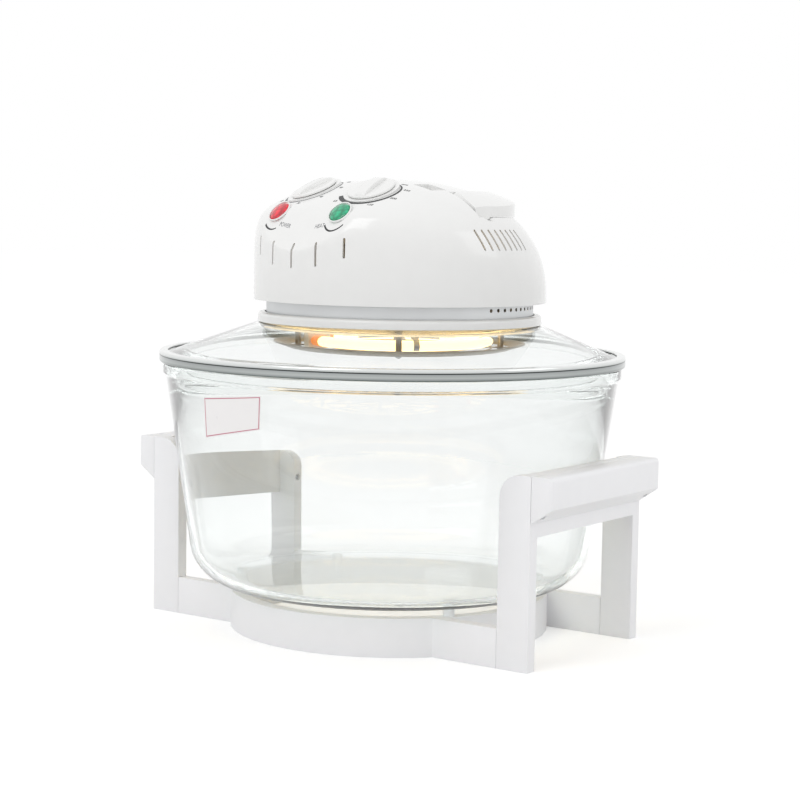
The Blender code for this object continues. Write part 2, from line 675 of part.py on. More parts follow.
def side_grip(name, side):
    """The hand grip screwed to the outside of a frame."""
    half = ARM_Y + POST_WIDTH / 2
    profile = [(GRIP_X, GRIP_ROOT_LOW), (GRIP_BACK, GRIP_FACE_LOW)]
    profile += arc(GRIP_BACK - GRIP_ROUND, FRAME_HEIGHT - GRIP_ROUND, GRIP_ROUND, 0, pi / 2, BLEND_STEPS)
    profile += [(GRIP_X, FRAME_HEIGHT)]
    lay = Matrix.Translation((0, half, 0)) @ Matrix.Rotation(pi / 2, 4, "X")
    shape = moved(prism(profile, 0, 2 * half), lay)
    plan = [(GRIP_X, -half), (GRIP_BACK - GRIP_ROUND, -half)]
    plan += arc(GRIP_BACK - GRIP_ROUND, -half + GRIP_ROUND, GRIP_ROUND, -pi / 2, 0, BLEND_STEPS)[1:]
    plan += arc(GRIP_BACK - GRIP_ROUND, half - GRIP_ROUND, GRIP_ROUND, 0, pi / 2, BLEND_STEPS)
    plan += [(GRIP_X, half)]
    shape = combined(shape, prism(plan, RAIL_LOW, FRAME_HEIGHT + OVERRUN), "INTERSECT")
    for front in (-1, 1):
        shape = cut(shape, across(STAND_SCREW_RADIUS + SLACK, GRIP_X - OVERRUN, GRIP_X + GRIP_SCREW_BITE,
                                  front * ARM_Y, GRIP_SCREW_Z, SMALL))
    publish(name, mirrored(shape, side), "satin_white_plastic")


def stand_screws():
    """Screws through the posts into the grips, and from below into the tenons."""
    sunk = STAND_SCREW_SUNK + STAND_SCREW_HEAD_HEIGHT
    grip_length = FRAME_DEPTH - sunk + GRIP_SCREW_BITE - SLACK
    foot_length = TENON_LOW + TENON_HEIGHT - sunk - BORE_FLOOR - SLACK
    grips = [Matrix.Translation((side * (FRAME_X + sunk), front * ARM_Y, GRIP_SCREW_Z)) @ facing((side, 0, 0))
             for side, front in arm_places()]
    feet = [Matrix.Translation((side * (FRAME_X + TENON_LENGTH / 2), front * ARM_Y, sunk))
            for side, front in arm_places()]
    for name, length, places in (("grip_screw", grip_length, grips), ("foot_screw", foot_length, feet)):
        shape = screw(STAND_SCREW_RADIUS, STAND_SCREW_HEAD_RADIUS, STAND_SCREW_HEAD_HEIGHT, length)
        publish_copies(name, shape, "bright_zinc", places)


def glass_bowl():
    """The glass bowl: a slightly tapered wall, a round corner and a thick rolled lip."""
    middle_z = BOWL_LOW + BOWL_CORNER
    outline = [(0, BOWL_LOW)]
    outline += arc(BOWL_FLAT, middle_z, BOWL_CORNER, -pi / 2, -BOWL_LEAN, CORNER_STEPS)
    outline += [(BOWL_RADIUS, WALL_TOP), (LIP_RADIUS, RIM - LIP_LOW), (LIP_RADIUS, RIM - LIP_HIGH),
                (LIP_RADIUS - LIP_HIGH, RIM)]
    inner_top = BOWL_RADIUS - BOWL_WALL / cos(BOWL_LEAN)
    outline += [(inner_top + LIP_HIGH / 2, RIM), (inner_top, RIM - LIP_HIGH), (inner_top, WALL_TOP)]
    outline += arc(BOWL_FLAT, middle_z, BOWL_CORNER - BOWL_WALL, -BOWL_LEAN, -pi / 2, CORNER_STEPS)
    outline += [(0, BOWL_LOW + BOWL_WALL)]
    publish("glass_bowl", turned(outline), "clear_glass")


def lid_glass():
    """The conical glass cover, whose land leans back with the head."""
    slope = LID_RISE / (LID_SHOULDER - LAND_RADIUS)
    under = LID_EDGE_TOP + slope * (LID_SHOULDER - LID_INNER_RADIUS) - LID_GLASS * sqrt(1 + slope ** 2)
    land_inner = LAND_RADIUS - LID_GLASS * slope / 2
    outline = [(LID_HOLE, LAND_UNDER), (land_inner, LAND_UNDER), (LID_INNER_RADIUS, under),
               (LID_INNER_RADIUS, LID_LOW - LID_LIP_DEPTH), (LID_LIP_RADIUS, LID_LOW - LID_LIP_DEPTH),
               (LID_LIP_RADIUS, LID_LOW), (LID_RADIUS, LID_LOW), (LID_RADIUS, LID_EDGE_TOP),
               (LID_SHOULDER, LID_EDGE_TOP), (LAND_RADIUS, LAND), (LID_HOLE, LAND)]
    shape = turned(outline)
    for point in shape.verts:
        radius = point.co.xy.length
        share = min(max((LID_INNER_RADIUS - radius) / (LID_INNER_RADIUS - LAND_RADIUS), 0), 1)
        point.co.y += share * HEAD_SETBACK
    item = publish("lid_glass", shape, "clear_glass")
    item.rotation_euler.z = HEAD_TURN


def lid_band():
    """The steel channel pressed round the lid's edge."""
    inner = BAND_RADIUS - BAND_LIP
    sheet = BAND_RADIUS - BAND_SHEET
    outline = [(inner, BAND_LOW), (BAND_RADIUS, BAND_LOW), (BAND_RADIUS, BAND_TOP), (inner, BAND_TOP),
               (inner, BAND_TOP - BAND_SHEET), (sheet, BAND_TOP - BAND_SHEET), (sheet, BAND_LOW + BAND_SHEET),
               (inner, BAND_LOW + BAND_SHEET)]
    item = publish("lid_band", turned(outline), "polished_steel")
    item.rotation_euler.z = HEAD_TURN


def head_base(head):
    """The moulded base that sits on the glass, with lugs below and posts above."""
    publish("lid_seal", ring(SEAL_INNER, SEAL_OUTER, LAND + GAP, SEAL_TOP), "grey_silicone", head)
    inner = SEAL_OUTER + 2 * GAP
    outline = [(inner, BASE_LOW), (BASE_RADIUS, BASE_LOW), (BASE_RADIUS, BASE_TOP - BASE_BEVEL),
               (BASE_RADIUS - BASE_BEVEL, BASE_TOP), (BASE_RADIUS - BASE_LIP, BASE_TOP),
               (BASE_RADIUS - BASE_LIP, DECK), (BASE_HOLE, DECK), (BASE_HOLE, DECK_LOW), (inner, DECK_LOW)]
    shape = turned(outline)
    bury = BASE_DECK / 2
    for spot in around(SCREW_CIRCLE, SCREW_ANGLE):
        shape = fused(shape, rod(LUG_RADIUS, CLAMP_TOP + GAP, DECK_LOW + bury, SMALL, spot),
                      rod(STANDOFF_RADIUS, DECK - bury, COVER_LOW - GAP, SMALL, spot))
        shape = cut(shape, rod(SCREW_RADIUS + GAP, CLAMP_TOP - OVERRUN, COVER_LOW + OVERRUN, SMALL, spot))
    for spot in around(GUARD_POST_CIRCLE, SCREW_ANGLE):
        shape = fused(shape, rod(LUG_RADIUS, PAN_TOP + GAP, DECK_LOW + bury, SMALL, spot))
        shape = cut(shape, rod(GUARD_STUD_RADIUS + GAP, PAN_TOP - OVERRUN, DECK_LOW - GAP, SMALL, spot))
    publish("head_base", shape, "gloss_white_plastic", head)


def glass_clamp(head):
    """The ring under the glass, and the long screws through it and the base into the cover."""
    seat = CLAMP_TOP - CLAMP_SHEET
    shape = ring(CLAMP_INNER, SEAL_OUTER, seat, CLAMP_TOP)
    for spot in around(SCREW_CIRCLE, SCREW_ANGLE):
        shape = cut(shape, rod(SCREW_RADIUS + GAP, seat - OVERRUN, CLAMP_TOP + OVERRUN, SMALL, spot))
    publish("glass_clamp", shape, "bright_aluminium", head)
    length = COVER_LOW + COVER_SCREW_BITE - seat
    publish_copies("cover_screw", screw(SCREW_RADIUS, SCREW_HEAD_RADIUS, SCREW_HEAD_HEIGHT, length),
                   "bright_zinc", upright(around(SCREW_CIRCLE, SCREW_ANGLE), seat - GAP), head)


def vent_collar(head):
    """The perforated ring that shows in the gap under the cover."""
    low = DECK + GAP
    shape = ring(COLLAR_RADIUS - COLLAR_SHEET, COLLAR_RADIUS, low, COVER_LOW + COLLAR_OVERLAP)
    holes = []
    for x, y in around(COLLAR_RADIUS, 0, COLLAR_HOLE_COUNT):
        lay = Matrix.Translation((x, y, DECK + COLLAR_HOLE_Z)) @ facing((x, y, 0))
        holes.append(moved(rod(COLLAR_HOLE_RADIUS, -OVERRUN, OVERRUN, COLLAR_HOLE_SIDES), lay))
    publish("vent_collar", cut(shape, joined(*holes)), "bright_aluminium", head)


def reflector(head):
    """The bright pan above the lamp."""
    inner = PAN_RADIUS - PAN_SHEET
    rim = PAN_TOP - PAN_DEPTH
    outline = [(PAN_BORE, PAN_LOW), (inner, PAN_LOW), (inner, rim), (PAN_RADIUS, rim), (PAN_RADIUS, PAN_TOP),
               (PAN_BORE, PAN_TOP)]
    shape = turned(outline)
    for spot in around(GUARD_POST_CIRCLE, SCREW_ANGLE):
        shape = cut(shape, rod(GUARD_STUD_RADIUS + GAP, PAN_LOW - OVERRUN, PAN_TOP + OVERRUN, SMALL, spot))
    publish("reflector", shape, "bright_aluminium", head)


def tube_arc(radius, circle, start, sweep, steps, sides):
    """Return a round tube laid on an arc about Z, with flat ends."""
    shape = bmesh.new()
    points = [shape.verts.new((circle + x, 0, z)) for x, z in arc(0, 0, radius, 0, TURN, sides)[:-1]]
    face = shape.faces.new(points)
    bmesh.ops.spin(shape, geom=[face], cent=(0, 0, 0), axis=(0, 0, 1), dvec=(0, 0, 0), angle=sweep,
                   steps=steps, use_merge=False, use_duplicate=False)
    return moved(shape, Matrix.Rotation(start - pi / 2, 4, "Z"))


def halogen_lamp(head):
    """The ring lamp, with a ceramic holder on each end and clips under the pan."""
    lift = Matrix.Translation((0, 0, LAMP_Z))
    lamp = moved(tube_arc(LAMP_RADIUS, LAMP_CIRCLE, LAMP_START, LAMP_SWEEP, FINE, SMALL), lift)
    publish("halogen_lamp", lamp, "lamp_quartz", head)
    for end in (0, 1):
        angle = LAMP_START + LAMP_SWEEP * end
        outward = 1 if end else -1
        low = (-HOLDER_WIDTH / 2, -HOLDER_LENGTH / 2, LAMP_Z - LAMP_RADIUS - HOLDER_WALL)
        high = (HOLDER_WIDTH / 2, HOLDER_LENGTH / 2, PAN_LOW - GAP)
        block = moved(box(low, high), Matrix.Translation((0, outward * HOLDER_LENGTH / 4, 0)))
        seat = across(LAMP_RADIUS + GAP, -HOLDER_LENGTH, GAP, 0, 0)
        seat = moved(seat, lift @ Matrix.Rotation(outward * pi / 2, 4, "Z"))
        holder = publish(f"lamp_holder_{end + 1}", cut(block, seat), "white_ceramic", head)
        holder.matrix_local = tube_place(angle)
    places = [tube_place(LAMP_START + LAMP_SWEEP * share) for share in CLIP_SHARES]
    publish_copies("lamp_clip", lamp_clip(), "bright_zinc", places, head)


def tube_place(angle):
    """Return the place of a point on the lamp's circle, at an angle from the front."""
    return Matrix.Rotation(angle - pi / 2, 4, "Z") @ Matrix.Translation((LAMP_CIRCLE, 0, 0))


def lamp_clip():
    """One open spring clip that hangs from the pan and holds the tube."""
    inner = LAMP_RADIUS + GAP
    start = CLIP_OPEN / 2 - pi / 2
    end = TURN - CLIP_OPEN / 2 - pi / 2
    points = arc(0, 0, inner, start, end, SMALL) + arc(0, 0, inner + CLIP_SHEET, end, start, SMALL)
    lay = Matrix.Translation((0, CLIP_WIDTH / 2, LAMP_Z)) @ Matrix.Rotation(pi / 2, 4, "X")
    hook = moved(prism(points, 0, CLIP_WIDTH), lay)
    foot = LAMP_Z + inner + CLIP_SHEET / 2
    stem = box((-CLIP_STEM / 2, -CLIP_WIDTH / 2, foot), (CLIP_STEM / 2, CLIP_WIDTH / 2, PAN_LOW - GAP))
    return fused(hook, stem)


def guard_grid(radii, kept):
    """Return a thin plate made of the kept cells between circles and spokes of even width."""
    offsets = (-GUARD_TAB / 2, -GUARD_BAR / 2, GUARD_BAR / 2, GUARD_TAB / 2)
    shape = bmesh.new()
    rows = []
    for radius in radii:
        rise = GUARD_RIM_RISE * max(radius - GUARD_FLAT_RADIUS, 0) / (GUARD_RADIUS - GUARD_FLAT_RADIUS)
        row = []
        for bar in range(GUARD_BARS):
            angles = [TURN * bar / GUARD_BARS + asin(offset / radius) for offset in offsets]
            following = TURN * (bar + 1) / GUARD_BARS - asin(GUARD_TAB / 2 / radius)
            angles.append((angles[-1] + following) / 2)
            row += [shape.verts.new((*polar(radius, angle), GUARD_LOW + rise)) for angle in angles]
        rows.append(row)
    columns = len(rows[0])
    for index, (inner, outer) in enumerate(zip(rows, rows[1:])):
        for column in range(columns):
            if kept(index, column % (columns // GUARD_BARS), column // (columns // GUARD_BARS)):
                following = (column + 1) % columns
                shape.faces.new((inner[column], outer[column], outer[following], inner[following]))
    bmesh.ops.delete(shape, geom=[vert for vert in shape.verts if not vert.link_faces], context="VERTS")
    sheet = bmesh.ops.extrude_face_region(shape, geom=shape.faces[:])["geom"]
    raised = [item for item in sheet if isinstance(item, bmesh.types.BMVert)]
    bmesh.ops.translate(shape, verts=raised, vec=(0, 0, GUARD_SHEET))
    return shape


def lamp_guard(head):
    """The steel guard under the lamp, with its posts and nuts."""
    hole = (GUARD_POST_CIRCLE - GUARD_BAR / 2, GUARD_POST_CIRCLE + GUARD_BAR / 2)
    tab = (GUARD_POST_CIRCLE - GUARD_TAB / 2, GUARD_POST_CIRCLE + GUARD_TAB / 2)
    span = tab[0] - GUARD_RING - GUARD_INNER_RADIUS
    circles = [GUARD_INNER_RADIUS + span * index / (GUARD_RINGS - 2) for index in range(GUARD_RINGS - 2)]
    radii = []
    for circle in circles:
        radii += [circle, circle + GUARD_RING]
    radii += [tab[0], hole[0], hole[1], tab[1], GUARD_FLAT_RADIUS, GUARD_FLAT_RADIUS + GUARD_RING,
              GUARD_RADIUS - GUARD_RING, GUARD_RADIUS]
    rings = {2 * index for index in range(GUARD_RINGS - 2)} | {len(radii) - 4, len(radii) - 2}
    tab_rows = {radii.index(tab[0]), radii.index(hole[0]), radii.index(hole[1])}
    hole_row = radii.index(hole[0])

    def kept(row, column, bar):
        if row in rings:
            return True
        if row in tab_rows and bar % 2 and column < 3:
            return not (row == hole_row and column == 1)
        return column == 1

    publish("lamp_guard", guard_grid(radii, kept), "polished_steel", head)
    end = DECK_LOW - 2 * GAP
    start = POST_LOW - GUARD_STUD_LENGTH
    outline = [(0, start), (GUARD_STUD_RADIUS, start), (GUARD_STUD_RADIUS, POST_LOW),
               (GUARD_POST_RADIUS, POST_LOW), (GUARD_POST_RADIUS, PAN_LOW - GAP),
               (GUARD_STUD_RADIUS, PAN_LOW - GAP), (GUARD_STUD_RADIUS, end), (0, end)]
    publish_copies("guard_post", turned(outline, SMALL), "polished_steel",
                   upright(around(GUARD_POST_CIRCLE, SCREW_ANGLE), 0), head)


def nut(radius, bore, low, high):
    """Return a six-sided nut."""
    hexagon = arc(0, 0, radius, 0, TURN, HEXAGON)[:-1]
    return cut(prism(hexagon, low, high), rod(bore + GAP, low - OVERRUN, high + OVERRUN, SMALL))


def bladed_wheel(name, radius, hub, low, height, blades, head):
    """A sheet wheel with upright blades round a hub that fits the shaft."""
    shape = fused(rod(hub, low, low + height), rod(radius - FAN_HUB, low + height - FAN_SHEET, low + height))
    for index in range(blades):
        blade = box((hub / 2, -FAN_SHEET / 2, low), (radius, FAN_SHEET / 2, low + height - FAN_SHEET / 2))
        shape = fused(shape, moved(blade, Matrix.Rotation(TURN * index / blades, 4, "Z")))
    shape = cut(shape, rod(SHAFT_RADIUS + GAP, low - OVERRUN, low + height + OVERRUN, SMALL))
    publish(name, shape, "bright_aluminium", head)


def fan_set(head):
    """The hot-air fan, its nut, the motor's shaft and the cooling fan above."""
    bladed_wheel("convection_fan", FAN_RADIUS, FAN_HUB, FAN_LOW, FAN_HEIGHT, FAN_BLADES, head)
    bladed_wheel("cooling_fan", COOLER_RADIUS, FAN_HUB, COOLER_LOW, COOLER_HEIGHT, COOLER_BLADES, head)
    publish("fan_nut", nut(FAN_NUT_RADIUS, SHAFT_RADIUS, FAN_NUT_LOW, FAN_NUT_TOP), "bright_zinc", head)
    publish("motor_shaft", rod(SHAFT_RADIUS, SHAFT_LOW, SHAFT_TOP, SMALL), "polished_steel", head)


def motor(head):
    """The bracket over the cooling fan, the laminated core and its coil."""
    half = BRACKET_WIDTH / 2
    inner = BRACKET_HALF - BRACKET_FOOT
    sheet = BRACKET_SHEET
    right = [(BRACKET_TOP_HALF, BRACKET_TOP), (inner + sheet, BRACKET_LOW + sheet),
             (BRACKET_HALF, BRACKET_LOW + sheet), (BRACKET_HALF, BRACKET_LOW), (inner, BRACKET_LOW),
             (BRACKET_TOP_HALF - sheet, BRACKET_TOP - sheet)]
    left = [(-x, z) for x, z in reversed(right)]
    lay = Matrix.Translation((0, half, 0)) @ Matrix.Rotation(pi / 2, 4, "X")
    bracket = moved(prism(right + left, 0, BRACKET_WIDTH), lay)
    bracket = cut(bracket, rod(SHAFT_RADIUS + GAP, BRACKET_LOW, BRACKET_TOP + OVERRUN, SMALL))
    publish("motor_bracket", bracket, "bright_zinc", head)

    core = box((-CORE_WIDTH / 2, -CORE_FRONT, CORE_LOW), (CORE_WIDTH / 2, CORE_BACK, CORE_TOP))
    window_back = CORE_LIMB + CORE_WINDOW - CORE_FRONT
    window = box((-CORE_WINDOW_WIDTH / 2, CORE_LIMB - CORE_FRONT, CORE_LOW - OVERRUN),
                 (CORE_WINDOW_WIDTH / 2, window_back, CORE_TOP + OVERRUN))
    core = cut(core, window, rod(SHAFT_RADIUS + GAP, CORE_LOW - OVERRUN, CORE_TOP + OVERRUN, SMALL))
    publish("motor_core", core, "silicon_steel", head)

    grow = COIL_WALL + GAP
    coil = box((-COIL_LENGTH / 2, -CORE_FRONT - grow, CORE_LOW - grow),
               (COIL_LENGTH / 2, CORE_LIMB - CORE_FRONT + grow, CORE_TOP + grow))
    limb = box((-COIL_LENGTH, -CORE_FRONT - GAP, CORE_LOW - GAP),
               (COIL_LENGTH, CORE_LIMB - CORE_FRONT + GAP, CORE_TOP + GAP))
    publish("motor_coil", cut(coil, limb), "coil_tape", head)


def wiring_parts(head):
    """The terminal block and the thermal cut-out on the base's deck."""
    low = DECK + GAP
    width, depth, height = TERMINAL_SIZE
    block = box((-width / 2, TERMINAL_Y - depth / 2, low), (width / 2, TERMINAL_Y + depth / 2, low + height))
    wells = []
    for way in range(TERMINAL_WAYS):
        x = width * ((way + 1) / (TERMINAL_WAYS + 1) - 1 / 2)
        wells.append(rod(TERMINAL_WELL, low + height - TERMINAL_WELL_DEPTH, low + height + OVERRUN, SMALL,
                         (x, TERMINAL_Y)))
    publish("terminal_block", cut(block, joined(*wells)), "white_ceramic", head)
    top = low + CUTOUT_HEIGHT
    outline = [(0, low), (CUTOUT_RADIUS, low), (CUTOUT_RADIUS, low + CUTOUT_HEIGHT / 2),
               (CUTOUT_RADIUS * 2 / 3, low + CUTOUT_HEIGHT / 2), (CUTOUT_RADIUS * 2 / 3, top), (0, top)]
    cutout = moved(turned(outline, COARSE), Matrix.Translation((CUTOUT_X, CUTOUT_Y, 0)))
    publish("thermal_cutout", cutout, "black_plastic", head)


def smooth_min(first, second, blend):
    """Return the smaller of two values, with a rounded change between them."""
    overlap = max(blend - abs(first - second), 0) / blend
    return min(first, second) - overlap ** 2 * blend / 4


def dome_power(angle):
    """Return how square the dome's side is at an angle from the front."""
    share = (1 - cos(angle)) / 2
    return FRONT_POWER * (BACK_POWER / FRONT_POWER) ** share


def faced(z, x, y, inset):
    """Return a height of the dome after the dial panel and the lamp brow have cut it."""
    crown = (DIAL_X ** 2 - x ** 2) / (2 * PANEL_CROWN)
    panel = DOME_LOW + PANEL_Z + crown + tan(PANEL_TILT) * (y + DIAL_Y) - inset / cos(PANEL_TILT)
    brow = DOME_LOW + BROW_Z + tan(BROW_TILT) * (y + LAMP_Y) - inset / cos(BROW_TILT)
    return smooth_min(smooth_min(z, brow, BROW_BLEND), panel, PANEL_BLEND)


def dome_top(x, y):
    """Return the height of the cover's outer face above a place."""
    share = min((x * x + y * y) / DOME_RADIUS ** 2, 1)
    power = dome_power(atan2(x, -y))
    return faced(DOME_LOW + DOME_HEIGHT * (1 - share) ** (1 / power), x, y, 0)


def dome(inset, low, power=dome_power, panel=True):
    """Return the dome, or one inset from it, as a closed solid down to a level."""
    shape = bmesh.new()
    radius = DOME_RADIUS - inset
    angles = [TURN * index / DOME_SEGMENTS for index in range(DOME_SEGMENTS)]
    rows = [[shape.verts.new((*polar(radius, angle), low)) for angle in angles]]
    for step in range(DOME_RINGS):
        lift = pi / 2 * (step / DOME_RINGS) ** RING_POWER
        row = []
        for angle in angles:
            x, y = polar(radius * cos(lift), angle)
            z = DOME_LOW + (DOME_HEIGHT - inset) * sin(lift) ** (2 / power(angle))
            row.append(shape.verts.new((x, y, faced(z, x, y, inset) if panel and step else z)))
        rows.append(row)
    peak = shape.verts.new((0, 0, DOME_TOP - inset))
    shape.faces.new(list(reversed(rows[0])))
    for lower, upper in zip(rows, rows[1:]):
        for index in range(DOME_SEGMENTS):
            following = (index + 1) % DOME_SEGMENTS
            shape.faces.new((lower[index], lower[following], upper[following], upper[index]))
    for index in range(DOME_SEGMENTS):
        shape.faces.new((rows[-1][index], rows[-1][(index + 1) % DOME_SEGMENTS], peak))
    return shape


def dial_frame(side):
    """Return the place and turn of a dial's seat; its +Z points out of the panel."""
    y = -DIAL_Y
    z = DOME_LOW + PANEL_Z
    turn = Matrix.Rotation(side * DIAL_SPLAY, 4, "Z") @ Matrix.Rotation(PANEL_TILT, 4, "X")
    return Matrix.Translation((side * DIAL_X, y, z)) @ turn


def lamp_frame(side):
    """Return the place and turn of a signal lamp; its +Z points out of the cover."""
    x, y, reach = side * LAMP_X, -LAMP_Y, LENS_RADIUS
    across_slope = (dome_top(x + reach, y) - dome_top(x - reach, y)) / (2 * reach)
    down_slope = (dome_top(x, y + reach) - dome_top(x, y - reach)) / (2 * reach)
    return Matrix.Translation((x, y, dome_top(x, y))) @ facing((-across_slope, -down_slope, 1))


def gland_frame():
    """Return the place and turn of the cord's gland; its +Z points out of the back."""
    spot = Matrix.Translation((0, DOME_RADIUS + GLAND_SEAT_PROUD, DOME_LOW + GLAND_Z))
    return spot @ facing((0, 1, 0)) @ Matrix.Rotation(pi / COARSE / 2, 4, "Z")


def handle_channel(grow):
    """Return the space that the folded handle and the finger pockets take, grown by a wall."""
    inner = CHANNEL_INNER - grow
    front = HANDLE_PIVOT_Y - END_CLEAR - GAP - grow
    low = CHANNEL_LOW - grow
    far = DOME_RADIUS + OVERRUN
    points = [(-inner, front)] + arc(0, 0, inner, pi, 0, COARSE)
    points += [(inner, front), (far, front), (far, far), (-far, far), (-far, front)]
    shape = prism(points, low, DOME_TOP + OVERRUN)
    for side in (-1, 1):
        pivot = across(END_CLEAR + grow, inner, far - GAP, PIVOT.y, PIVOT.z)
        shape = fused(shape, moved(pivot, Matrix.Scale(side, 4, (1, 0, 0))))
        near = side * (POCKET_X - grow)
        wide = side * (POCKET_X + POCKET_WIDTH + grow)
        pocket = box((min(near, wide), -POCKET_FRONT - grow, DOME_LOW + POCKET_FLOOR - grow),
                     (max(near, wide), -POCKET_BACK + grow, DOME_TOP + OVERRUN + GAP))
        shape = fused(shape, pocket) if grow else joined(shape, pocket)
    return shape


def air_slots():
    """Return the cutters of the front slots and of the leaning side slots."""
    cutters = []
    for index, (length_share, rise_share) in enumerate(zip(FRONT_SLOT_LENGTH_SHARES, FRONT_SLOT_RISE_SHARES)):
        angle = (index - (len(FRONT_SLOT_LENGTH_SHARES) - 1) / 2) * FRONT_SLOT_STEP
        z = DOME_LOW + FRONT_SLOT_Z + rise_share * FRONT_SLOT_RISE
        cutters.append(slot_cutter(angle, z, FRONT_SLOT_WIDTH, FRONT_SLOT_LENGTH * length_share, 0))
    for side in (-1, 1):
        for index in range(SIDE_SLOT_COUNT):
            angle = side * (SIDE_SLOT_FIRST + SIDE_SLOT_STEP * index)
            cutters.append(slot_cutter(angle, DOME_LOW + SIDE_SLOT_Z, SIDE_SLOT_WIDTH, SIDE_SLOT_LENGTH,
                                       side * SIDE_SLOT_LEAN))
    return joined(*cutters)


def slot_cutter(angle, z, width, length, lean):
    """Return one slot's cutter, which reaches through the dome's side."""
    cutter = box((-width / 2, -SLOT_REACH, -length / 2), (width / 2, SLOT_REACH, length / 2))
    x, y = polar(DOME_RADIUS - SLOT_REACH / 2, angle)
    turn = Matrix.Rotation(angle, 4, "Z") @ Matrix.Rotation(lean, 4, "Y")
    return moved(cutter, Matrix.Translation((x, y, z)) @ turn)


def head_cover(head):
    """The tall moulded cover with its panel, slots and handle channel."""
    seats = [moved(rod(SEAT_RADIUS, -SEAT_DEPTH, SEAT_PROUD, 2 * COARSE), dial_frame(side))
             for side in (-1, 1)]
    seats.append(moved(rod(GLAND_SEAT_RADIUS, -GLAND_SEAT_DEPTH, 0), gland_frame()))
    outer = cut(fused(dome(0, COVER_LOW), joined(*seats)), handle_channel(0))

    kept = [rod(COVER_BOSS_RADIUS, COVER_LOW - 2 * OVERRUN, DOME_TOP, SMALL, spot)
            for spot in around(SCREW_CIRCLE, SCREW_ANGLE)]
    kept.append(moved(rod(GLAND_SEAT_RADIUS, -GLAND_SEAT_DEPTH, OVERRUN), gland_frame()))
    for side in (-1, 1):
        kept.append(moved(rod(SEAT_RADIUS, -SEAT_DEPTH, OVERRUN, 2 * COARSE), dial_frame(side)))
        kept.append(moved(rod(LENS_SEAT_RADIUS, -LENS_HEIGHT - LENS_FLOOR, 2 * OVERRUN), lamp_frame(side)))
    cavity = cut(dome(DOME_WALL, COVER_LOW - OVERRUN), handle_channel(DOME_WALL))
    cavity = cut(cavity, joined(*kept))
    publish("head_cover", cut(outer, cavity, cover_holes()), "gloss_white_plastic", head)


def cover_holes():
    """Return the cutters of every hole that goes through the cover's wall."""
    holes = [air_slots()]
    stem_hole = LENS_STEM_RADIUS + GAP
    lens_hole = LENS_RADIUS + GAP
    lens_well = [(0, -3 * OVERRUN), (stem_hole, -3 * OVERRUN), (stem_hole, -LENS_HEIGHT),
                 (lens_hole, -LENS_HEIGHT), (lens_hole, 2 * OVERRUN), (0, 2 * OVERRUN)]
    for side in (-1, 1):
        holes.append(moved(rod(BUSH_RADIUS + GAP, -SEAT_DEPTH - OVERRUN, OVERRUN), dial_frame(side)))
        holes.append(moved(turned(lens_well, COARSE), lamp_frame(side)))
        pin = across(PIN_RADIUS + GAP, CHANNEL_INNER - DOME_WALL - OVERRUN, CHANNEL_INNER + OVERRUN,
                     PIVOT.y, PIVOT.z, SMALL)
        holes.append(moved(pin, Matrix.Scale(side, 4, (1, 0, 0))))
    for spot in around(SCREW_CIRCLE, SCREW_ANGLE):
        holes.append(rod(SCREW_RADIUS + GAP, COVER_LOW - OVERRUN, COVER_LOW + COVER_SCREW_BITE + GAP, SMALL,
                         spot))
    holes.append(rod(PLUNGER_RADIUS + GAP, CHANNEL_LOW - DOME_WALL - OVERRUN, CHANNEL_LOW + OVERRUN, SMALL,
                     (SWITCH_X, SWITCH_Y)))
    holes.append(moved(rod(GLAND_NECK + GLAND_CLEAR, -GLAND_SEAT_DEPTH - OVERRUN, OVERRUN), gland_frame()))
    return joined(*holes)


def control(name, side, head):
    """A knob, its spindle and the body behind the panel, on an axis of their own."""
    frame = empty(name + "_frame", dial_frame(side), head)
    seat = SEAT_PROUD + KNOB_CLEAR
    top = seat + KNOB_HEIGHT
    bore = seat + KNOB_BORE_DEPTH
    reach = KNOB_RADIUS - 2 * KNOB_ROUND
    crest = [(reach * cos(angle), KNOB_GRIP_HEIGHT * sin(angle)) for angle in fractions(pi, SMALL)]
    crest = [(x, top + z) for x, z in crest] + [(-reach, top - KNOB_ROUND), (reach, top - KNOB_ROUND)]
    lay = Matrix.Rotation(pi / 2, 4, "Z") @ Matrix.Translation((0, KNOB_GRIP_WIDTH / 2, 0))
    grip = moved(prism(crest, 0, KNOB_GRIP_WIDTH), lay @ Matrix.Rotation(pi / 2, 4, "X"))
    knob = cut(fused(rod(KNOB_RADIUS, seat, top, 2 * COARSE), grip),
               rod(SPINDLE_RADIUS + GAP, seat - OVERRUN, bore))
    publish(name + "_knob", knob, "gloss_white_plastic", frame)
    body_top = -SEAT_DEPTH - GAP
    spindle = rod(SPINDLE_RADIUS, -SPINDLE_SUNK, bore - GAP)
    publish(name + "_spindle", spindle, "bright_zinc", frame)
    bore_radius = SPINDLE_RADIUS + GAP
    body = turned([(0, body_top - CONTROL_DEPTH), (CONTROL_RADIUS, body_top - CONTROL_DEPTH),
                   (CONTROL_RADIUS, body_top), (BUSH_RADIUS, body_top), (BUSH_RADIUS, SEAT_PROUD),
                   (bore_radius, SEAT_PROUD), (bore_radius, -SPINDLE_SUNK - GAP), (0, -SPINDLE_SUNK - GAP)],
                  2 * COARSE)
    publish(name + "_body", body, "black_plastic", frame)


def signal_lamps(head):
    """A red and a green signal lamp, each moulded in one with its body behind the cover."""
    low = GAP - LENS_HEIGHT
    under = low - LENS_STEM_LENGTH
    crown = [(LENS_RADIUS * share, LENS_PROUD * (1 - share ** 2)) for share in LENS_RING_SHARES]
    outline = [(0, under), (LENS_STEM_RADIUS, under), (LENS_STEM_RADIUS, low), (LENS_RADIUS, low)] + crown
    for name, side, finish in (("power_lamp", -1, "red_lens"), ("heat_lamp", 1, "green_lens")):
        lamp = publish(name, turned(outline, COARSE), finish, head)
        lamp.matrix_local = lamp_frame(side)


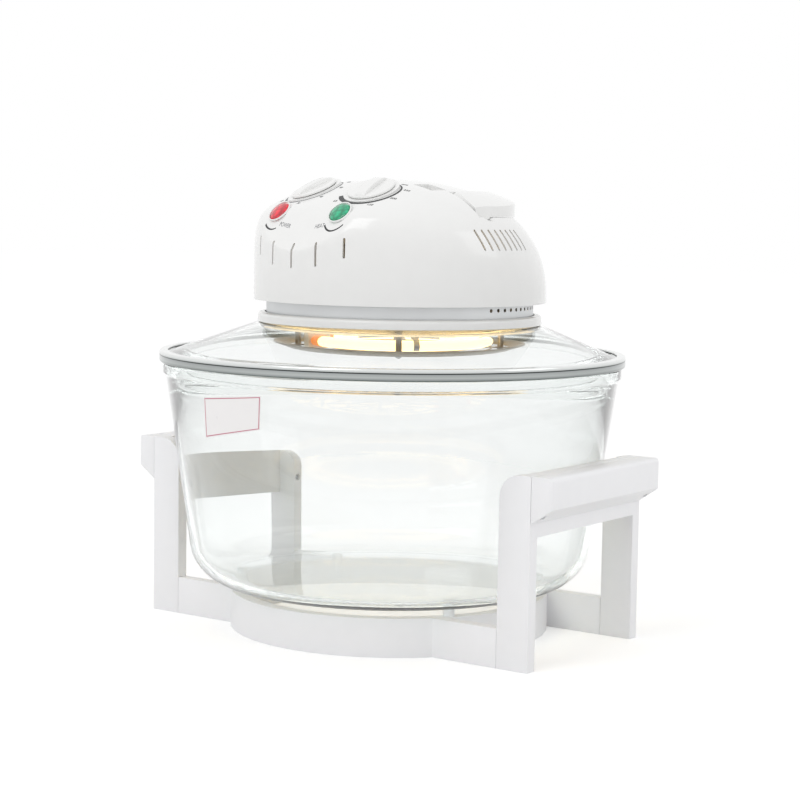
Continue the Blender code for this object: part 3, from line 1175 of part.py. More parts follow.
def handle_plan():
    """Return the bail's outline from above: two arms and a round back."""
    front = HANDLE_PIVOT_Y - HANDLE_END
    outer = [(HANDLE_OUTER * cos(angle), HANDLE_BACK * sin(angle)) for angle in fractions(pi, COARSE)]
    inner = arc(0, 0, HANDLE_INNER, pi, 0, COARSE)
    return [(HANDLE_OUTER, front)] + outer + [(-HANDLE_OUTER, front), (-HANDLE_INNER, front)] + inner + [
        (HANDLE_INNER, front)]


def carry_handle(head):
    """The bail that folds flush round the back of the cover, and its two pins."""
    low = DOME_LOW + HANDLE_LOW
    bail = prism(handle_plan(), low - HANDLE_END, DOME_TOP)
    bail = combined(bail, dome(0, COVER_LOW, lambda angle: HANDLE_POWER, False), "INTERSECT")
    far = HANDLE_OUTER + OVERRUN
    rail = box((-far, PIVOT.y, low), (far, HANDLE_BACK + OVERRUN, DOME_TOP + OVERRUN))
    ends = across(HANDLE_END, -far, far, PIVOT.y, PIVOT.z, 2 * COARSE)
    bail = combined(bail, fused(rail, ends), "INTERSECT")
    inside = CHANNEL_INNER - DOME_WALL - GAP
    end = HANDLE_INNER + PIN_REACH
    outline = [(0, inside - PIN_HEAD_HEIGHT), (PIN_HEAD_RADIUS, inside - PIN_HEAD_HEIGHT),
               (PIN_HEAD_RADIUS, inside), (PIN_RADIUS, inside), (PIN_RADIUS, end), (0, end)]
    for side in (-1, 1):
        flip = Matrix.Scale(side, 4, (1, 0, 0))
        bore = across(PIN_RADIUS + GAP, HANDLE_INNER - OVERRUN, end + GAP, PIVOT.y, PIVOT.z, SMALL)
        bail = cut(bail, moved(bore, flip))
    handle = publish("carry_handle", moved(bail, Matrix.Translation(-PIVOT)), "gloss_white_plastic", head)
    handle.location = PIVOT
    lays = [Matrix.Translation(PIVOT) @ Matrix.Rotation(side * pi / 2, 4, "Y") for side in (-1, 1)]
    publish_copies("handle_pin", turned(outline, COARSE), "bright_zinc", lays, head)


def safety_switch(head):
    """The switch under the channel's floor, whose plunger follows the handle."""
    width, depth, height = SWITCH_SIZE
    top = CHANNEL_LOW - DOME_WALL - GAP
    body = box((SWITCH_X - width / 2, SWITCH_Y - depth / 2, top - height),
               (SWITCH_X + width / 2, SWITCH_Y + depth / 2, top))
    spot = (SWITCH_X, SWITCH_Y)
    bore = rod(PLUNGER_RADIUS + GAP, top - PLUNGER_SUNK - GAP, top + OVERRUN, SMALL, spot)
    publish("safety_switch", cut(body, bore), "black_plastic", head)
    plunger_top = DOME_LOW + HANDLE_LOW - GAP
    plunger = rod(PLUNGER_RADIUS, top - PLUNGER_SUNK, plunger_top, SMALL, spot)
    publish("switch_plunger", plunger, "black_plastic", head)


def cord_gland(head):
    """The bush in the back of the cover that the cord comes out of."""
    inside = -GLAND_SEAT_DEPTH - GAP
    end = GAP + GLAND_FLANGE_THICK
    outline = [(GLAND_BORE, inside - GLAND_FLANGE_THICK), (GLAND_FLANGE, inside - GLAND_FLANGE_THICK),
               (GLAND_FLANGE, inside), (GLAND_NECK, inside), (GLAND_NECK, GAP), (GLAND_FLANGE, GAP),
               (GLAND_FLANGE, end), (GLAND_BUSH, end), (GLAND_BUSH, end + GLAND_BUSH_LENGTH),
               (GLAND_BORE, end + GLAND_BUSH_LENGTH)]
    publish("cord_gland", moved(turned(outline, COARSE), gland_frame()), "black_plastic", head)


def main():
    """Build the whole oven."""
    clear_scene()
    stand_base()
    for name, side in (("left", -1), ("right", 1)):
        side_frame("side_frame_" + name, side)
        side_grip("side_grip_" + name, side)
    stand_screws()
    glass_bowl()
    head = empty("head_frame", Matrix.Translation(HEAD_PLACE) @ Matrix.Rotation(HEAD_TURN, 4, "Z"))
    lid_glass()
    lid_band()
    head_base(head)
    glass_clamp(head)
    vent_collar(head)
    reflector(head)
    halogen_lamp(head)
    lamp_guard(head)
    fan_set(head)
    motor(head)
    wiring_parts(head)
    head_cover(head)
    for name, side in (("timer", -1), ("thermostat", 1)):
        control(name, side, head)
    signal_lamps(head)
    carry_handle(head)
    safety_switch(head)
    cord_gland(head)


if __name__ == "__main__":
    main()
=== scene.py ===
"""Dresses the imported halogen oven: glass, steel and moulded pieces round the fixed CAD frame."""

from math import atan2, cos, pi, radians, sin, sqrt, tan

import bmesh
import bpy
from bpy.props import FloatProperty, FloatVectorProperty, PointerProperty
from mathutils import Matrix, Vector


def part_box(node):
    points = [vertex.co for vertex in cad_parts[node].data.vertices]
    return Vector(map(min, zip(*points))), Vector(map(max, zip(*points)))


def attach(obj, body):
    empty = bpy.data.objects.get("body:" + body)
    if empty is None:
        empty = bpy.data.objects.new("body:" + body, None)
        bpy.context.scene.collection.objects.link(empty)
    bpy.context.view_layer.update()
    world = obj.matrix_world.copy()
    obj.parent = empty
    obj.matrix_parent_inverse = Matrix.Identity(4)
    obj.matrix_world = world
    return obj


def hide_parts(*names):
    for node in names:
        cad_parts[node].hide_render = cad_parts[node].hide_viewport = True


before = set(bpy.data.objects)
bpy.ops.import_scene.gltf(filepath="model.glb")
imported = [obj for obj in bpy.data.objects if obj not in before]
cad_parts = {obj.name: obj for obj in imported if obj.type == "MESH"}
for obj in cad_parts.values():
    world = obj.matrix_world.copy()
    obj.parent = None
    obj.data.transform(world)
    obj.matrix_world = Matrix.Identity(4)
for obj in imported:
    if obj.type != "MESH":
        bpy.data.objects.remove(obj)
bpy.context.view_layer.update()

bl_info = {
    "name": "Halogen Oven",
    "version": (1, 0, 0),
    "blender": (4, 5, 0),
    "location": "View3D > Sidebar > Halogen Oven",
    "description": "Builds the visible pieces of a countertop halogen oven round its CAD frame",
    "category": "Object",
}

TURN = 2 * pi
GAP = 0.0003                      # air between two pieces that touch
OVERRUN = 0.004                   # how far a cut runs past the surface it opens

# Sizes that repeat the CAD source, in metres
HOOP_HEIGHT = 0.0265
REST_HEIGHT = 0.0052
BOWL_RADIUS = 0.1605
BOWL_TAPER = 0.145
BOWL_HEIGHT = 0.1566
BOWL_WALL = 0.0055
BOWL_CORNER = 0.031
LIP_FLARE = 0.002
LIP_LOW = 0.0071
LIP_HIGH = 0.0016
LIP_BLEND = 0.0018
LID_OVERHANG = 0.0014
LID_EDGE = 0.0058
LID_LEDGE = 0.0074
LID_RISE = 0.0212
LID_GLASS = 0.005
LAND_RADIUS = 0.100
LID_HOLE = 0.084
LID_LIP_CLEAR = 0.0045
LID_LIP_WALL = 0.004
LID_LIP_DEPTH = 0.0095
BAND_SHEET = 0.0008
BAND_LIP = 0.006
HEAD_TURN = radians(-9.5)
HEAD_SETBACK = 0.0065
SEAL_HEIGHT = 0.0014
BASE_RADIUS = 0.101
BASE_HEIGHT = 0.0067
BASE_DECK = 0.003
VENT_HEIGHT = 0.0108
COLLAR_RADIUS = 0.095
COLLAR_SHEET = 0.0012
COLLAR_OVERLAP = 0.0017
COLLAR_HOLE_RADIUS = 0.0013
COLLAR_HOLE_Z = 0.0077
PAN_RADIUS = 0.077
PAN_DROP = 0.0005
PAN_SHEET = 0.001
LAMP_CIRCLE = 0.062
LAMP_RADIUS = 0.005
LAMP_DROP = 0.011
LAMP_SWEEP = radians(318)
LAMP_START = radians(-24)
GUARD_RADIUS = 0.090
GUARD_SHEET = 0.0012
GUARD_RIM_RISE = 0.005
GUARD_FLAT_RADIUS = 0.080
GUARD_INNER_RADIUS = 0.012
GUARD_POST_CIRCLE = 0.0725
GUARD_POST_LENGTH = 0.0168
GUARD_STUD_RADIUS = 0.001
SCREW_CIRCLE = 0.080
SCREW_ANGLE = radians(45)
SCREW_RADIUS = 0.0012
DOME_RADIUS = 0.104
DOME_HEIGHT = 0.082
DOME_SKIRT = 0.0032
DOME_WALL = 0.0025
FRONT_POWER = 7.4
BACK_POWER = 1.8
RING_POWER = 2.2
PANEL_TILT = radians(24)
PANEL_Z = 0.0737
PANEL_CROWN = 0.303
PANEL_BLEND = 0.004
BROW_TILT = radians(60)
BROW_Z = 0.060
BROW_BLEND = 0.008
COVER_BOSS_RADIUS = 0.005
COVER_SCREW_BITE = 0.009
DIAL_X = 0.028704
DIAL_Y = 0.0572
DIAL_SPLAY = radians(12)
SEAT_RADIUS = 0.0195
SEAT_PROUD = 0.0004
SEAT_DEPTH = 0.0065
KNOB_RADIUS = 0.0165
KNOB_HEIGHT = 0.0018
KNOB_ROUND = 0.0008
KNOB_CLEAR = 0.0004
KNOB_GRIP_WIDTH = 0.0085
KNOB_GRIP_HEIGHT = 0.0032
KNOB_BORE_DEPTH = 0.0034
SPINDLE_RADIUS = 0.0025
BUSH_RADIUS = 0.0048
LAMP_X = 0.030503
LAMP_Y = 0.088005
LENS_RADIUS = 0.0078
LENS_HEIGHT = 0.0042
LENS_PROUD = 0.0016
LENS_STEM_RADIUS = 0.0045
LENS_STEM_LENGTH = 0.016
LENS_SEAT_RADIUS = 0.0102
LENS_FLOOR = 0.002
FRONT_SLOT_WIDTH = 0.0018
FRONT_SLOT_STEP = radians(12)
FRONT_SLOTS = ((0.80, 0.40), (0.97, 0.09), (1.0, 0.0), (0.97, 0.09), (0.80, 0.40))
FRONT_SLOT_LENGTH = 0.017
FRONT_SLOT_Z = 0.029
FRONT_SLOT_RISE = 0.015
SIDE_SLOT_COUNT = 8
SIDE_SLOT_FIRST = radians(77)
SIDE_SLOT_STEP = radians(3.6)
SIDE_SLOT_WIDTH = 0.0016
SIDE_SLOT_LENGTH = 0.016
SIDE_SLOT_Z = 0.0415
SIDE_SLOT_LEAN = radians(-28)
SLOT_REACH = 0.016
HANDLE_INNER = 0.062
HANDLE_OUTER = 0.0855
HANDLE_BACK = 0.074
HANDLE_LOW = 0.0572
HANDLE_POWER = 4.6
HANDLE_PIVOT_Y = -0.005
HANDLE_PIVOT_Z = 0.0645
HANDLE_END = 0.0098
CHANNEL_CLEAR = 0.0005
HANDLE_SIDE_CLEAR = 0.0007
PIN_RADIUS = 0.0025
PIN_REACH = 0.013
POCKET_X = 0.040
POCKET_WIDTH = 0.018
POCKET_FRONT = 0.029
POCKET_BACK = 0.014
POCKET_FLOOR = 0.067
SWITCH_X = -0.0718
SWITCH_Y = 0.014
PLUNGER_RADIUS = 0.002
GLAND_Z = 0.0085
GLAND_SEAT_RADIUS = 0.0105
GLAND_SEAT_DEPTH = 0.0078
GLAND_SEAT_PROUD = 0.0006
GLAND_NECK = 0.0066
GLAND_CLEAR = 0.0004

SPINDLE_SUNK = 0.012
LUG_RADIUS = 0.003
STANDOFF_RADIUS = 0.005
BASE_BEVEL = 0.0025
BASE_LIP = 0.0048
BASE_HOLE = 0.064
SEAL_OUTER = 0.096
SEAL_INNER = 0.086
CLAMP_INNER = 0.0778
CLAMP_SHEET = 0.0015
PAN_DEPTH = 0.0025
PAN_BORE = 0.0055
GUARD_TAB = 0.0085
GUARD_BARS = 8
GUARD_POST_RADIUS = 0.0022
GUARD_STUD_LENGTH = 0.0042
SCREW_HEAD_HEIGHT = 0.0016
STAND_SCREW_RADIUS = 0.0014

# Sizes of what only the visible model has
WELD = 0.00001                    # points this close are one
FLAT_ANGLE = radians(0.5)
LENS_FACET = 0.0032
LENS_LIGHT = 1.7                  # brightness of a facet's middle and of its edge, as shares of the colour
LENS_DARK = 0.7
RIM_WIDTH = 0.0013                # white rim round each signal lens
RIM_LIFT = 0.0004
LAMP_PINCH = radians(11)
GUARD_WIRES = 6
GUARD_NUT_RADIUS = 0.0023
GUARD_NUT_HEIGHT = 0.0018
COLLAR_HOLE_FIRST = radians(86)
COLLAR_HOLE_STEP = radians(4.2)
COLLAR_HOLE_COUNT = 45
BAND_GROOVE = 0.00035
BAND_GROOVE_SHARE = 0.64          # where the groove runs, as a share of the band's height
BAND_BEND = 0.00128
# Tone of the band at shares of its height: painted shade at the seam, the face, painted shade in the groove
# and a painted highlight on the top edge
BAND_SHADE_AND_HIGHLIGHT_TONES = ((0.02, "4A5552"), (0.14, "8B908F"), (0.3, "ABAFAE"), (0.56, "9EA2A2"), (0.62, "4E5251"),
              (0.67, "A9ADAC"), (0.8, "D9DCDB"), (0.97, "E6E8E7"))
INK = 0.00008
LABEL_MARGIN = 0.0008
LABEL_LINE = 0.0006
# Lower left, lower right, upper left and upper right corner: angle from the front and height
LABEL_CORNERS = ((radians(-16.9), 0.1432), (radians(3.0), 0.1534), (radians(-15.6), 0.1713),
                 (radians(4.1), 0.1760))
DIAL_ARC_RADIUS = 0.0211
DIAL_ARC_START = radians(203)
DIAL_ARC_SWEEP = radians(232)
DIAL_NUMBER_RADIUS = 0.0255
DIAL_ARC_TIP = 0.0008             # width of the arc's narrow end
LETTER_HEIGHT = 0.0034
SMILE_RADIUS = 0.0117
SMILE_WIDTH = 0.0011
SMILE_TIP = 0.0006
WORD_X = 0.013455                 # a lamp's word from the middle of its lens
WORD_Y = 0.007722
# Side of each signal lamp, its word, and where the arc under it starts and how far it sweeps
SIGNAL_PRINTS = ((-1, "POWER", radians(232), radians(66)), (1, "HEAT", radians(220), radians(95)))
DIALS = ((-1, "timer_print", "grey_screen_ink", 0.6, ("10", "20", "30", "40", "50", "60")),
         (1, "thermostat_print", "black_screen_ink", 1.0, ("65", "100", "150", "200", "225", "250")))
BLOOM_SIZE = 0.012                # patches of a finish that changes over the surface
BLOOM_SHADE = 0.965               # how much darker a patch is
BLOOM_ROUGHNESS = 0.2             # how far its roughness strays, as a share
BOWL_DENSITY = 10.0               # how strongly the glass takes on its tint
LID_DENSITY = 8.0
GLASS_SHADOW = (0.95, 0.97, 0.96, 1)
MIX_FROM, MIX_TO, MIX_RESULT = 6, 7, 2    # colour sockets of a Mix node

# Stage
CAMERA_SPOT = (0.8305, -1.1448, 0.2988)
CAMERA_HEADING = radians(35.724)
CAMERA_DIP = radians(5.54)
CAMERA_ROLL = 0.01536
CAMERA_LENS = 89.5
CAMERA_SENSOR = 36
FLOOR_REACH = 8
FLOOR_PAINT = (0.8, 0.8, 0.8, 1)
FLOOR_LIFT = 0.33                 # share of the floor's white that the camera sees without any light
WORLD_LIGHT = 0.84
LAMP_TARGET = (0, 0, 0.16)
# Name, place, size and power of each soft lamp
SOFT_LAMPS = (("key_softbox", (-0.15, -1.6, 1.5), 1.1, 8.0), ("side_softbox", (1.7, 0.5, 1.0), 0.9, 2.5))

# Fineness and edge rounding of the visible meshes
ROUND_STEPS = 160                 # steps round a large turned piece
PART_STEPS = 48                   # steps round a small one
SMALL_STEPS = 20
ARC_STEPS = 14
DOME_RINGS = 46
DOME_SEGMENTS = 160
SMOOTH_ANGLE = radians(32)
MOULD_EDGE = 0.0009               # rounding of a moulded plastic edge
FINE_EDGE = 0.0004
GLASS_EDGE = 0.0011
LID_SHARPEST = radians(8)         # the lid's edges that turn less than this aren't rounded
BOWL_SMOOTH_ANGLE = radians(40)
SLOT_ROUND_SHARE = 0.45           # rounding of a slot's ends, as a share of its width
CROSS_SPAN_SHARE = 0.6            # a screw's cross, as shares of its head's radius and height
CROSS_WIDTH_SHARE = 0.16
CROSS_FLOOR_SHARE = 0.35
LABEL_GRID = (24, 10)
WIRE_STEPS = 96
WIRE_SIDES = 8

# Levels, as in the CAD source
REST_TOP = HOOP_HEIGHT + REST_HEIGHT
BOWL_LOW = REST_TOP + GAP
RIM = BOWL_LOW + BOWL_HEIGHT
WALL_TOP = RIM - LIP_LOW - LIP_BLEND
BOWL_LEAN = atan2(BOWL_TAPER, 1)
WALL_HEIGHT = BOWL_HEIGHT - LIP_LOW - LIP_BLEND - BOWL_CORNER
BOWL_FLAT = BOWL_RADIUS - BOWL_TAPER * WALL_HEIGHT - BOWL_CORNER / cos(BOWL_LEAN)
LIP_RADIUS = BOWL_RADIUS + LIP_FLARE
LID_RADIUS = LIP_RADIUS + LID_OVERHANG
LID_SHOULDER = LID_RADIUS - LID_LEDGE
LID_LIP_RADIUS = BOWL_RADIUS - BOWL_WALL - LID_LIP_CLEAR
LID_INNER_RADIUS = LID_LIP_RADIUS - LID_LIP_WALL
BAND_LOW = RIM + GAP
LID_LOW = BAND_LOW + BAND_SHEET + GAP
LID_EDGE_TOP = LID_LOW + LID_EDGE
BAND_TOP = LID_EDGE_TOP + GAP + BAND_SHEET
BAND_RADIUS = LID_RADIUS + GAP + BAND_SHEET
LAND = LID_EDGE_TOP + LID_RISE
LAND_UNDER = LAND - LID_GLASS
BASE_LOW = LAND + GAP
DECK_LOW = LAND + 2 * GAP + SEAL_HEIGHT
DECK = DECK_LOW + BASE_DECK
BASE_TOP = BASE_LOW + BASE_HEIGHT
COVER_LOW = DECK + VENT_HEIGHT
DOME_LOW = COVER_LOW + DOME_SKIRT
DOME_TOP = DOME_LOW + DOME_HEIGHT
PAN_LOW = LAND_UNDER - PAN_DROP - PAN_SHEET
PAN_TOP = LAND_UNDER - PAN_DROP
CLAMP_TOP = LAND_UNDER - GAP
LAMP_Z = PAN_LOW - LAMP_DROP
POST_LOW = PAN_LOW - GAP - GUARD_POST_LENGTH
GUARD_TOP = POST_LOW - GAP
GUARD_LOW = GUARD_TOP - GUARD_SHEET
CHANNEL_LOW = DOME_LOW + HANDLE_LOW - CHANNEL_CLEAR
CHANNEL_INNER = HANDLE_INNER - HANDLE_SIDE_CLEAR
END_CLEAR = HANDLE_END + CHANNEL_CLEAR
PIVOT = Vector((0, HANDLE_PIVOT_Y, DOME_LOW + HANDLE_PIVOT_Z))
LID_TURN = Matrix.Rotation(HEAD_TURN, 4, "Z")
HEAD = Matrix.Translation((-HEAD_SETBACK * sin(HEAD_TURN), HEAD_SETBACK * cos(HEAD_TURN), 0)) @ LID_TURN


def linear(code):
    """Turn an sRGB hex value into linear red, green and blue."""
    parts = [int(code[place:place + 2], 16) / 255 for place in (0, 2, 4)]
    return tuple(part / 12.92 if part <= 0.04045 else ((part + 0.055) / 1.055) ** 2.4 for part in parts)


def colour_setting(name, description, code):
    """Return a colour setting whose default is an sRGB hex value."""
    return FloatVectorProperty(name=name, description=description, subtype="COLOR", min=0, max=1,
                               default=linear(code))


class OvenColours(bpy.types.PropertyGroup):
    """Colours of the oven's finishes."""

    stand: colour_setting("Stand", "Satin plastic of the stand", "F7F7F9")
    head: colour_setting("Head", "Gloss plastic of the head", "F1F1F0")
    steel: colour_setting("Steel", "Polished band round the lid", "C4C7C7")
    tint: colour_setting("Glass tint", "Colour that thick glass takes on", "BFDCD4")
    red: colour_setting("Power lamp", "Red signal lens", "C8102A")
    green: colour_setting("Heat lamp", "Green signal lens", "12946A")
    glow: colour_setting("Glow", "Light of the halogen lamp", "FFE2A6")


class OvenSizes(bpy.types.PropertyGroup):
    """Sizes that only change the looks."""

    label_width: FloatProperty(name="Label width", description="Width of the blank label on the bowl",
                               subtype="DISTANCE", unit="LENGTH", default=0.055)
    label_height: FloatProperty(name="Label height", description="Height of the blank label on the bowl",
                                subtype="DISTANCE", unit="LENGTH", default=0.0265)
    dial_mark: FloatProperty(name="Dial mark", description="Widest part of the printed dial arc",
                             subtype="DISTANCE", unit="LENGTH", default=0.0034)
    glow_strength: FloatProperty(name="Glow strength", description="How brightly the halogen lamp shines",
                                 min=0, default=2.4)


def add_node(tree, kind, links=None, **settings):
    """Add a node with its settings; a link's value is another node's socket or a plain value."""
    node = tree.nodes.new(kind)
    for key, value in settings.items():
        setattr(node, key, value)
    for socket, value in (links or {}).items():
        if isinstance(value, bpy.types.NodeSocket):
            tree.links.new(value, node.inputs[socket])
        else:
            node.inputs[socket].default_value = value
    return node


def surface(name, colour, roughness, grain, depth, turned_at=None, **sockets):
    """Make a finish whose colour, roughness and relief all follow noise of a real size in metres."""
    material = bpy.data.materials.new(name)
    material.use_nodes = True
    tree = material.node_tree
    shader = tree.nodes["Principled BSDF"]
    for socket, value in sockets.items():
        shader.inputs[socket.replace("_", " ")].default_value = value
    place = add_node(tree, "ShaderNodeTexCoord").outputs["Object"]
    if turned_at:
        centred = add_node(tree, "ShaderNodeMapping", {
            "Vector": place, "Location": (-turned_at[0], -turned_at[1], 0)})
        level = add_node(tree, "ShaderNodeSeparateXYZ", {"Vector": centred.outputs["Vector"]})
        flat = add_node(tree, "ShaderNodeCombineXYZ", {"X": level.outputs["X"], "Y": level.outputs["Y"]})
        radius = add_node(tree, "ShaderNodeVectorMath", {0: flat.outputs["Vector"]}, operation="LENGTH")
        place = add_node(tree, "ShaderNodeCombineXYZ", {
            "X": radius.outputs["Value"], "Y": level.outputs["Z"]}).outputs["Vector"]
    relief = add_node(tree, "ShaderNodeTexNoise", {"Vector": place, "Scale": 1 / grain, "Detail": 2.0})
    bump = add_node(tree, "ShaderNodeBump", {"Height": relief.outputs["Fac"], "Distance": depth})
    tree.links.new(bump.outputs["Normal"], shader.inputs["Normal"])
    bloom = add_node(tree, "ShaderNodeTexNoise", {"Vector": place, "Scale": 1 / BLOOM_SIZE, "Detail": 3.0})
    mix = add_node(tree, "ShaderNodeMix", {
        0: bloom.outputs["Fac"], MIX_FROM: (*shade(colour, BLOOM_SHADE), 1), MIX_TO: (*colour, 1)},
        data_type="RGBA")
    tree.links.new(mix.outputs[MIX_RESULT], shader.inputs["Base Color"])
    spread = add_node(tree, "ShaderNodeMapRange", {
        "Value": bloom.outputs["Fac"], "To Min": roughness * (1 - BLOOM_ROUGHNESS),
        "To Max": roughness * (1 + BLOOM_ROUGHNESS)})
    tree.links.new(spread.outputs["Result"], shader.inputs["Roughness"])
    return tree, shader, place


def shade(colour, share):
    """Return a colour made lighter or darker."""
    return tuple(min(part * share, 1) for part in colour)


def clear_glass(name, tint, density):
    """Make pressed glass: clear through its wall, green where the view runs along it."""
    # The IOR is below that of solid glass, because these thin walls hardly bend what is seen through them
    tree, shader, _ = surface(name, (1, 1, 1), 0.004, 0.03, 0.00002, IOR=1.2, Coat_Weight=0.6,
                              Transmission_Weight=1.0)
    output = tree.nodes["Material Output"]
    absorb = add_node(tree, "ShaderNodeVolumeAbsorption", {"Color": (*tint, 1), "Density": density})
    tree.links.new(absorb.outputs["Volume"], output.inputs["Volume"])
    through = add_node(tree, "ShaderNodeBsdfTransparent", {"Color": GLASS_SHADOW})
    rays = add_node(tree, "ShaderNodeLightPath")
    mix = add_node(tree, "ShaderNodeMixShader", {
        0: rays.outputs["Is Shadow Ray"], 1: shader.outputs["BSDF"], 2: through.outputs["BSDF"]})
    tree.links.new(mix.outputs["Shader"], output.inputs["Surface"])


def lens_acrylic(name, colour, middle):
    """Make clear coloured acrylic over a bright facetted reflector, which shows as lighter patches."""
    tree, shader, place = surface(name, colour, 0.08, 0.003, 0.00002, IOR=1.49, Coat_Weight=0.6,
                                  Emission_Strength=0.1, Emission_Color=(*colour, 1))
    centred = add_node(tree, "ShaderNodeMapping", {"Vector": place, "Location": [-part for part in middle]})
    facets = add_node(tree, "ShaderNodeTexVoronoi", {
        "Vector": centred.outputs["Vector"], "Scale": 1 / LENS_FACET})
    edge = add_node(tree, "ShaderNodeMapRange", {
        "Value": facets.outputs["Distance"], "From Min": 0.15, "From Max": 0.7})
    mix = add_node(tree, "ShaderNodeMix", {
        0: edge.outputs["Result"], MIX_FROM: (*shade(colour, LENS_LIGHT), 1),
        MIX_TO: (*shade(colour, LENS_DARK), 1)}, data_type="RGBA")
    tree.links.new(mix.outputs[MIX_RESULT], shader.inputs["Base Color"])


class OVEN_OT_finishes(bpy.types.Operator):
    """Make every material of the oven, each named for what the real one is"""

    bl_idname = "oven.finishes"
    bl_label = "Finishes"

    def execute(self, context):
        """Make the plastics, glasses, metals and inks."""
        look = context.scene.oven_colours
        head_axis = HEAD.translation.xy
        # ABS moulded against an eroded tool: a soft, wide sheen. Its grain is 0.3 mm, drawn at 1.2 mm to show
        surface("satin_moulded_abs", look.stand, 0.42, 0.0012, 0.00003, IOR=1.53)
        # Polypropylene moulded against a polished tool: sharp highlights that waver where the wall sank
        surface("gloss_moulded_polypropylene", look.head, 0.16, 0.022, 0.00008, IOR=1.5, Coat_Weight=0.3,
                Coat_Roughness=0.05)
        # Pressed soda-lime glass, whose waviness is about 30 mm long
        clear_glass("pressed_soda_lime_glass", look.tint, BOWL_DENSITY)
        clear_glass("tempered_lid_glass", look.tint, LID_DENSITY)
        # Stainless strip, mopped round its length: fine lines run round the band.
        # Its colour is painted darker at the seam and in the groove as painted shade, and lighter along the
        # top edge as a painted highlight
        tree, shader, place = surface("stainless_strip_painted_shade_and_highlight", look.steel, 0.16, 0.0009, 0.000012, (0, 0),
                                      Metallic=1.0)
        height = add_node(tree, "ShaderNodeSeparateXYZ", {"Vector": place})
        level = add_node(tree, "ShaderNodeMapRange", {
            "Value": height.outputs["Y"], "From Min": BAND_LOW, "From Max": BAND_TOP})
        # Painted shade and highlight by height: dark at the seam and in the groove, light along the top edge
        painted_light_ramp = add_node(tree, "ShaderNodeValToRGB", {"Fac": level.outputs["Result"]})
        shade_and_highlight_stops = painted_light_ramp.color_ramp.elements
        for stop, code in BAND_SHADE_AND_HIGHLIGHT_TONES:
            shade_and_highlight_stops.new(stop).color = (*linear(code), 1)
        shade_and_highlight_stops.remove(shade_and_highlight_stops[0])
        shade_and_highlight_stops.remove(shade_and_highlight_stops[-1])
        tree.links.new(painted_light_ramp.outputs["Color"], shader.inputs["Base Color"])
        # Chromed steel of the fan shaft: nearly a mirror, with a slight orange peel 4 mm long
        surface("chromed_steel_wire", linear("CFD1D2"), 0.12, 0.004, 0.00001, Metallic=1.0)
        # Chromed guard, tinted brownish grey as a painted reflection of the glowing pan above it
        surface("chrome_painted_warm_reflection", linear("9C9385"), 0.3, 0.005, 0.00001, Metallic=1.0)
        # Zinc-plated steel: a grey bloom in patches of a few millimetres
        surface("zinc_plated_steel", linear("B4B6B9"), 0.34, 0.003, 0.00002, Metallic=1.0)
        # Spun and bright-dipped aluminium beside the lamp: close rings from the tool, with a painted amber
        # glow in its emission that stands for the lamp's light on it
        surface("aluminium_painted_lamp_glow", linear("E8DCC2"), 0.25, 0.0012, 0.00003, head_axis, Metallic=1.0,
                Emission_Color=(*linear("FFDC9A"), 1), Emission_Strength=0.7)
        # Pressed and tumbled aluminium sheet, duller than the pan
        surface("pressed_aluminium_sheet", linear("D2D4D5"), 0.4, 0.0016, 0.00002, Metallic=1.0)
        # Moulded silicone rubber: dull, with a powdery bloom
        surface("moulded_silicone_rubber", linear("B5B5B3"), 0.7, 0.0015, 0.00004, IOR=1.41)
        # Steatite, pressed dry and fired without glaze: chalky and slightly warm
        surface("unglazed_steatite", linear("EAE5DA"), 0.62, 0.0012, 0.00006, IOR=1.55)
        # Glass-filled nylon of the controls and the gland: fibres leave a dry, uneven sheen
        surface("glass_filled_nylon", linear("2A2A2B"), 0.5, 0.0012, 0.00005, IOR=1.53)
        # Stacked laminations 0.5 mm thick, drawn at 1 mm so that the stack reads
        surface("laminated_silicon_steel", linear("6E6E72"), 0.45, 0.001, 0.0001, Metallic=1.0)
        # Amber polyester tape wound over the coil, whose edges stand 6 mm apart
        surface("wound_polyester_tape", linear("B4702E"), 0.4, 0.006, 0.0003, IOR=1.57, Coat_Weight=0.3)
        lens_acrylic("clear_red_acrylic", look.red, HEAD @ Vector((-LAMP_X, -LAMP_Y, DOME_LOW)))
        lens_acrylic("clear_green_acrylic", look.green, HEAD @ Vector((LAMP_X, -LAMP_Y, DOME_LOW)))
        # Fused quartz round a white-hot filament, and its pinched ends, which glow only orange
        surface("glowing_fused_quartz", look.glow, 0.1, 0.004, 0.00003, IOR=1.46,
                Emission_Color=(*look.glow, 1), Emission_Strength=context.scene.oven_sizes.glow_strength)
        surface("hot_quartz_pinch", linear("E8924A"), 0.2, 0.003, 0.0001, IOR=1.46,
                Emission_Color=(*linear("F08A3C"), 1), Emission_Strength=0.8)
        # Screen ink, thick enough to leave an edge
        surface("black_screen_ink", linear("2C2D2F"), 0.45, 0.0012, 0.00002, IOR=1.5)
        surface("grey_screen_ink", linear("77797C"), 0.45, 0.0012, 0.00002, IOR=1.5)
        # Coated label paper under clear film, and its printed frame
        surface("filmed_label_paper", linear("F4F2F2"), 0.3, 0.002, 0.00001, IOR=1.5, Coat_Weight=0.5)
        surface("rose_label_ink", linear("C0607A"), 0.35, 0.002, 0.00001, IOR=1.5, Coat_Weight=0.5)
        return {"FINISHED"}


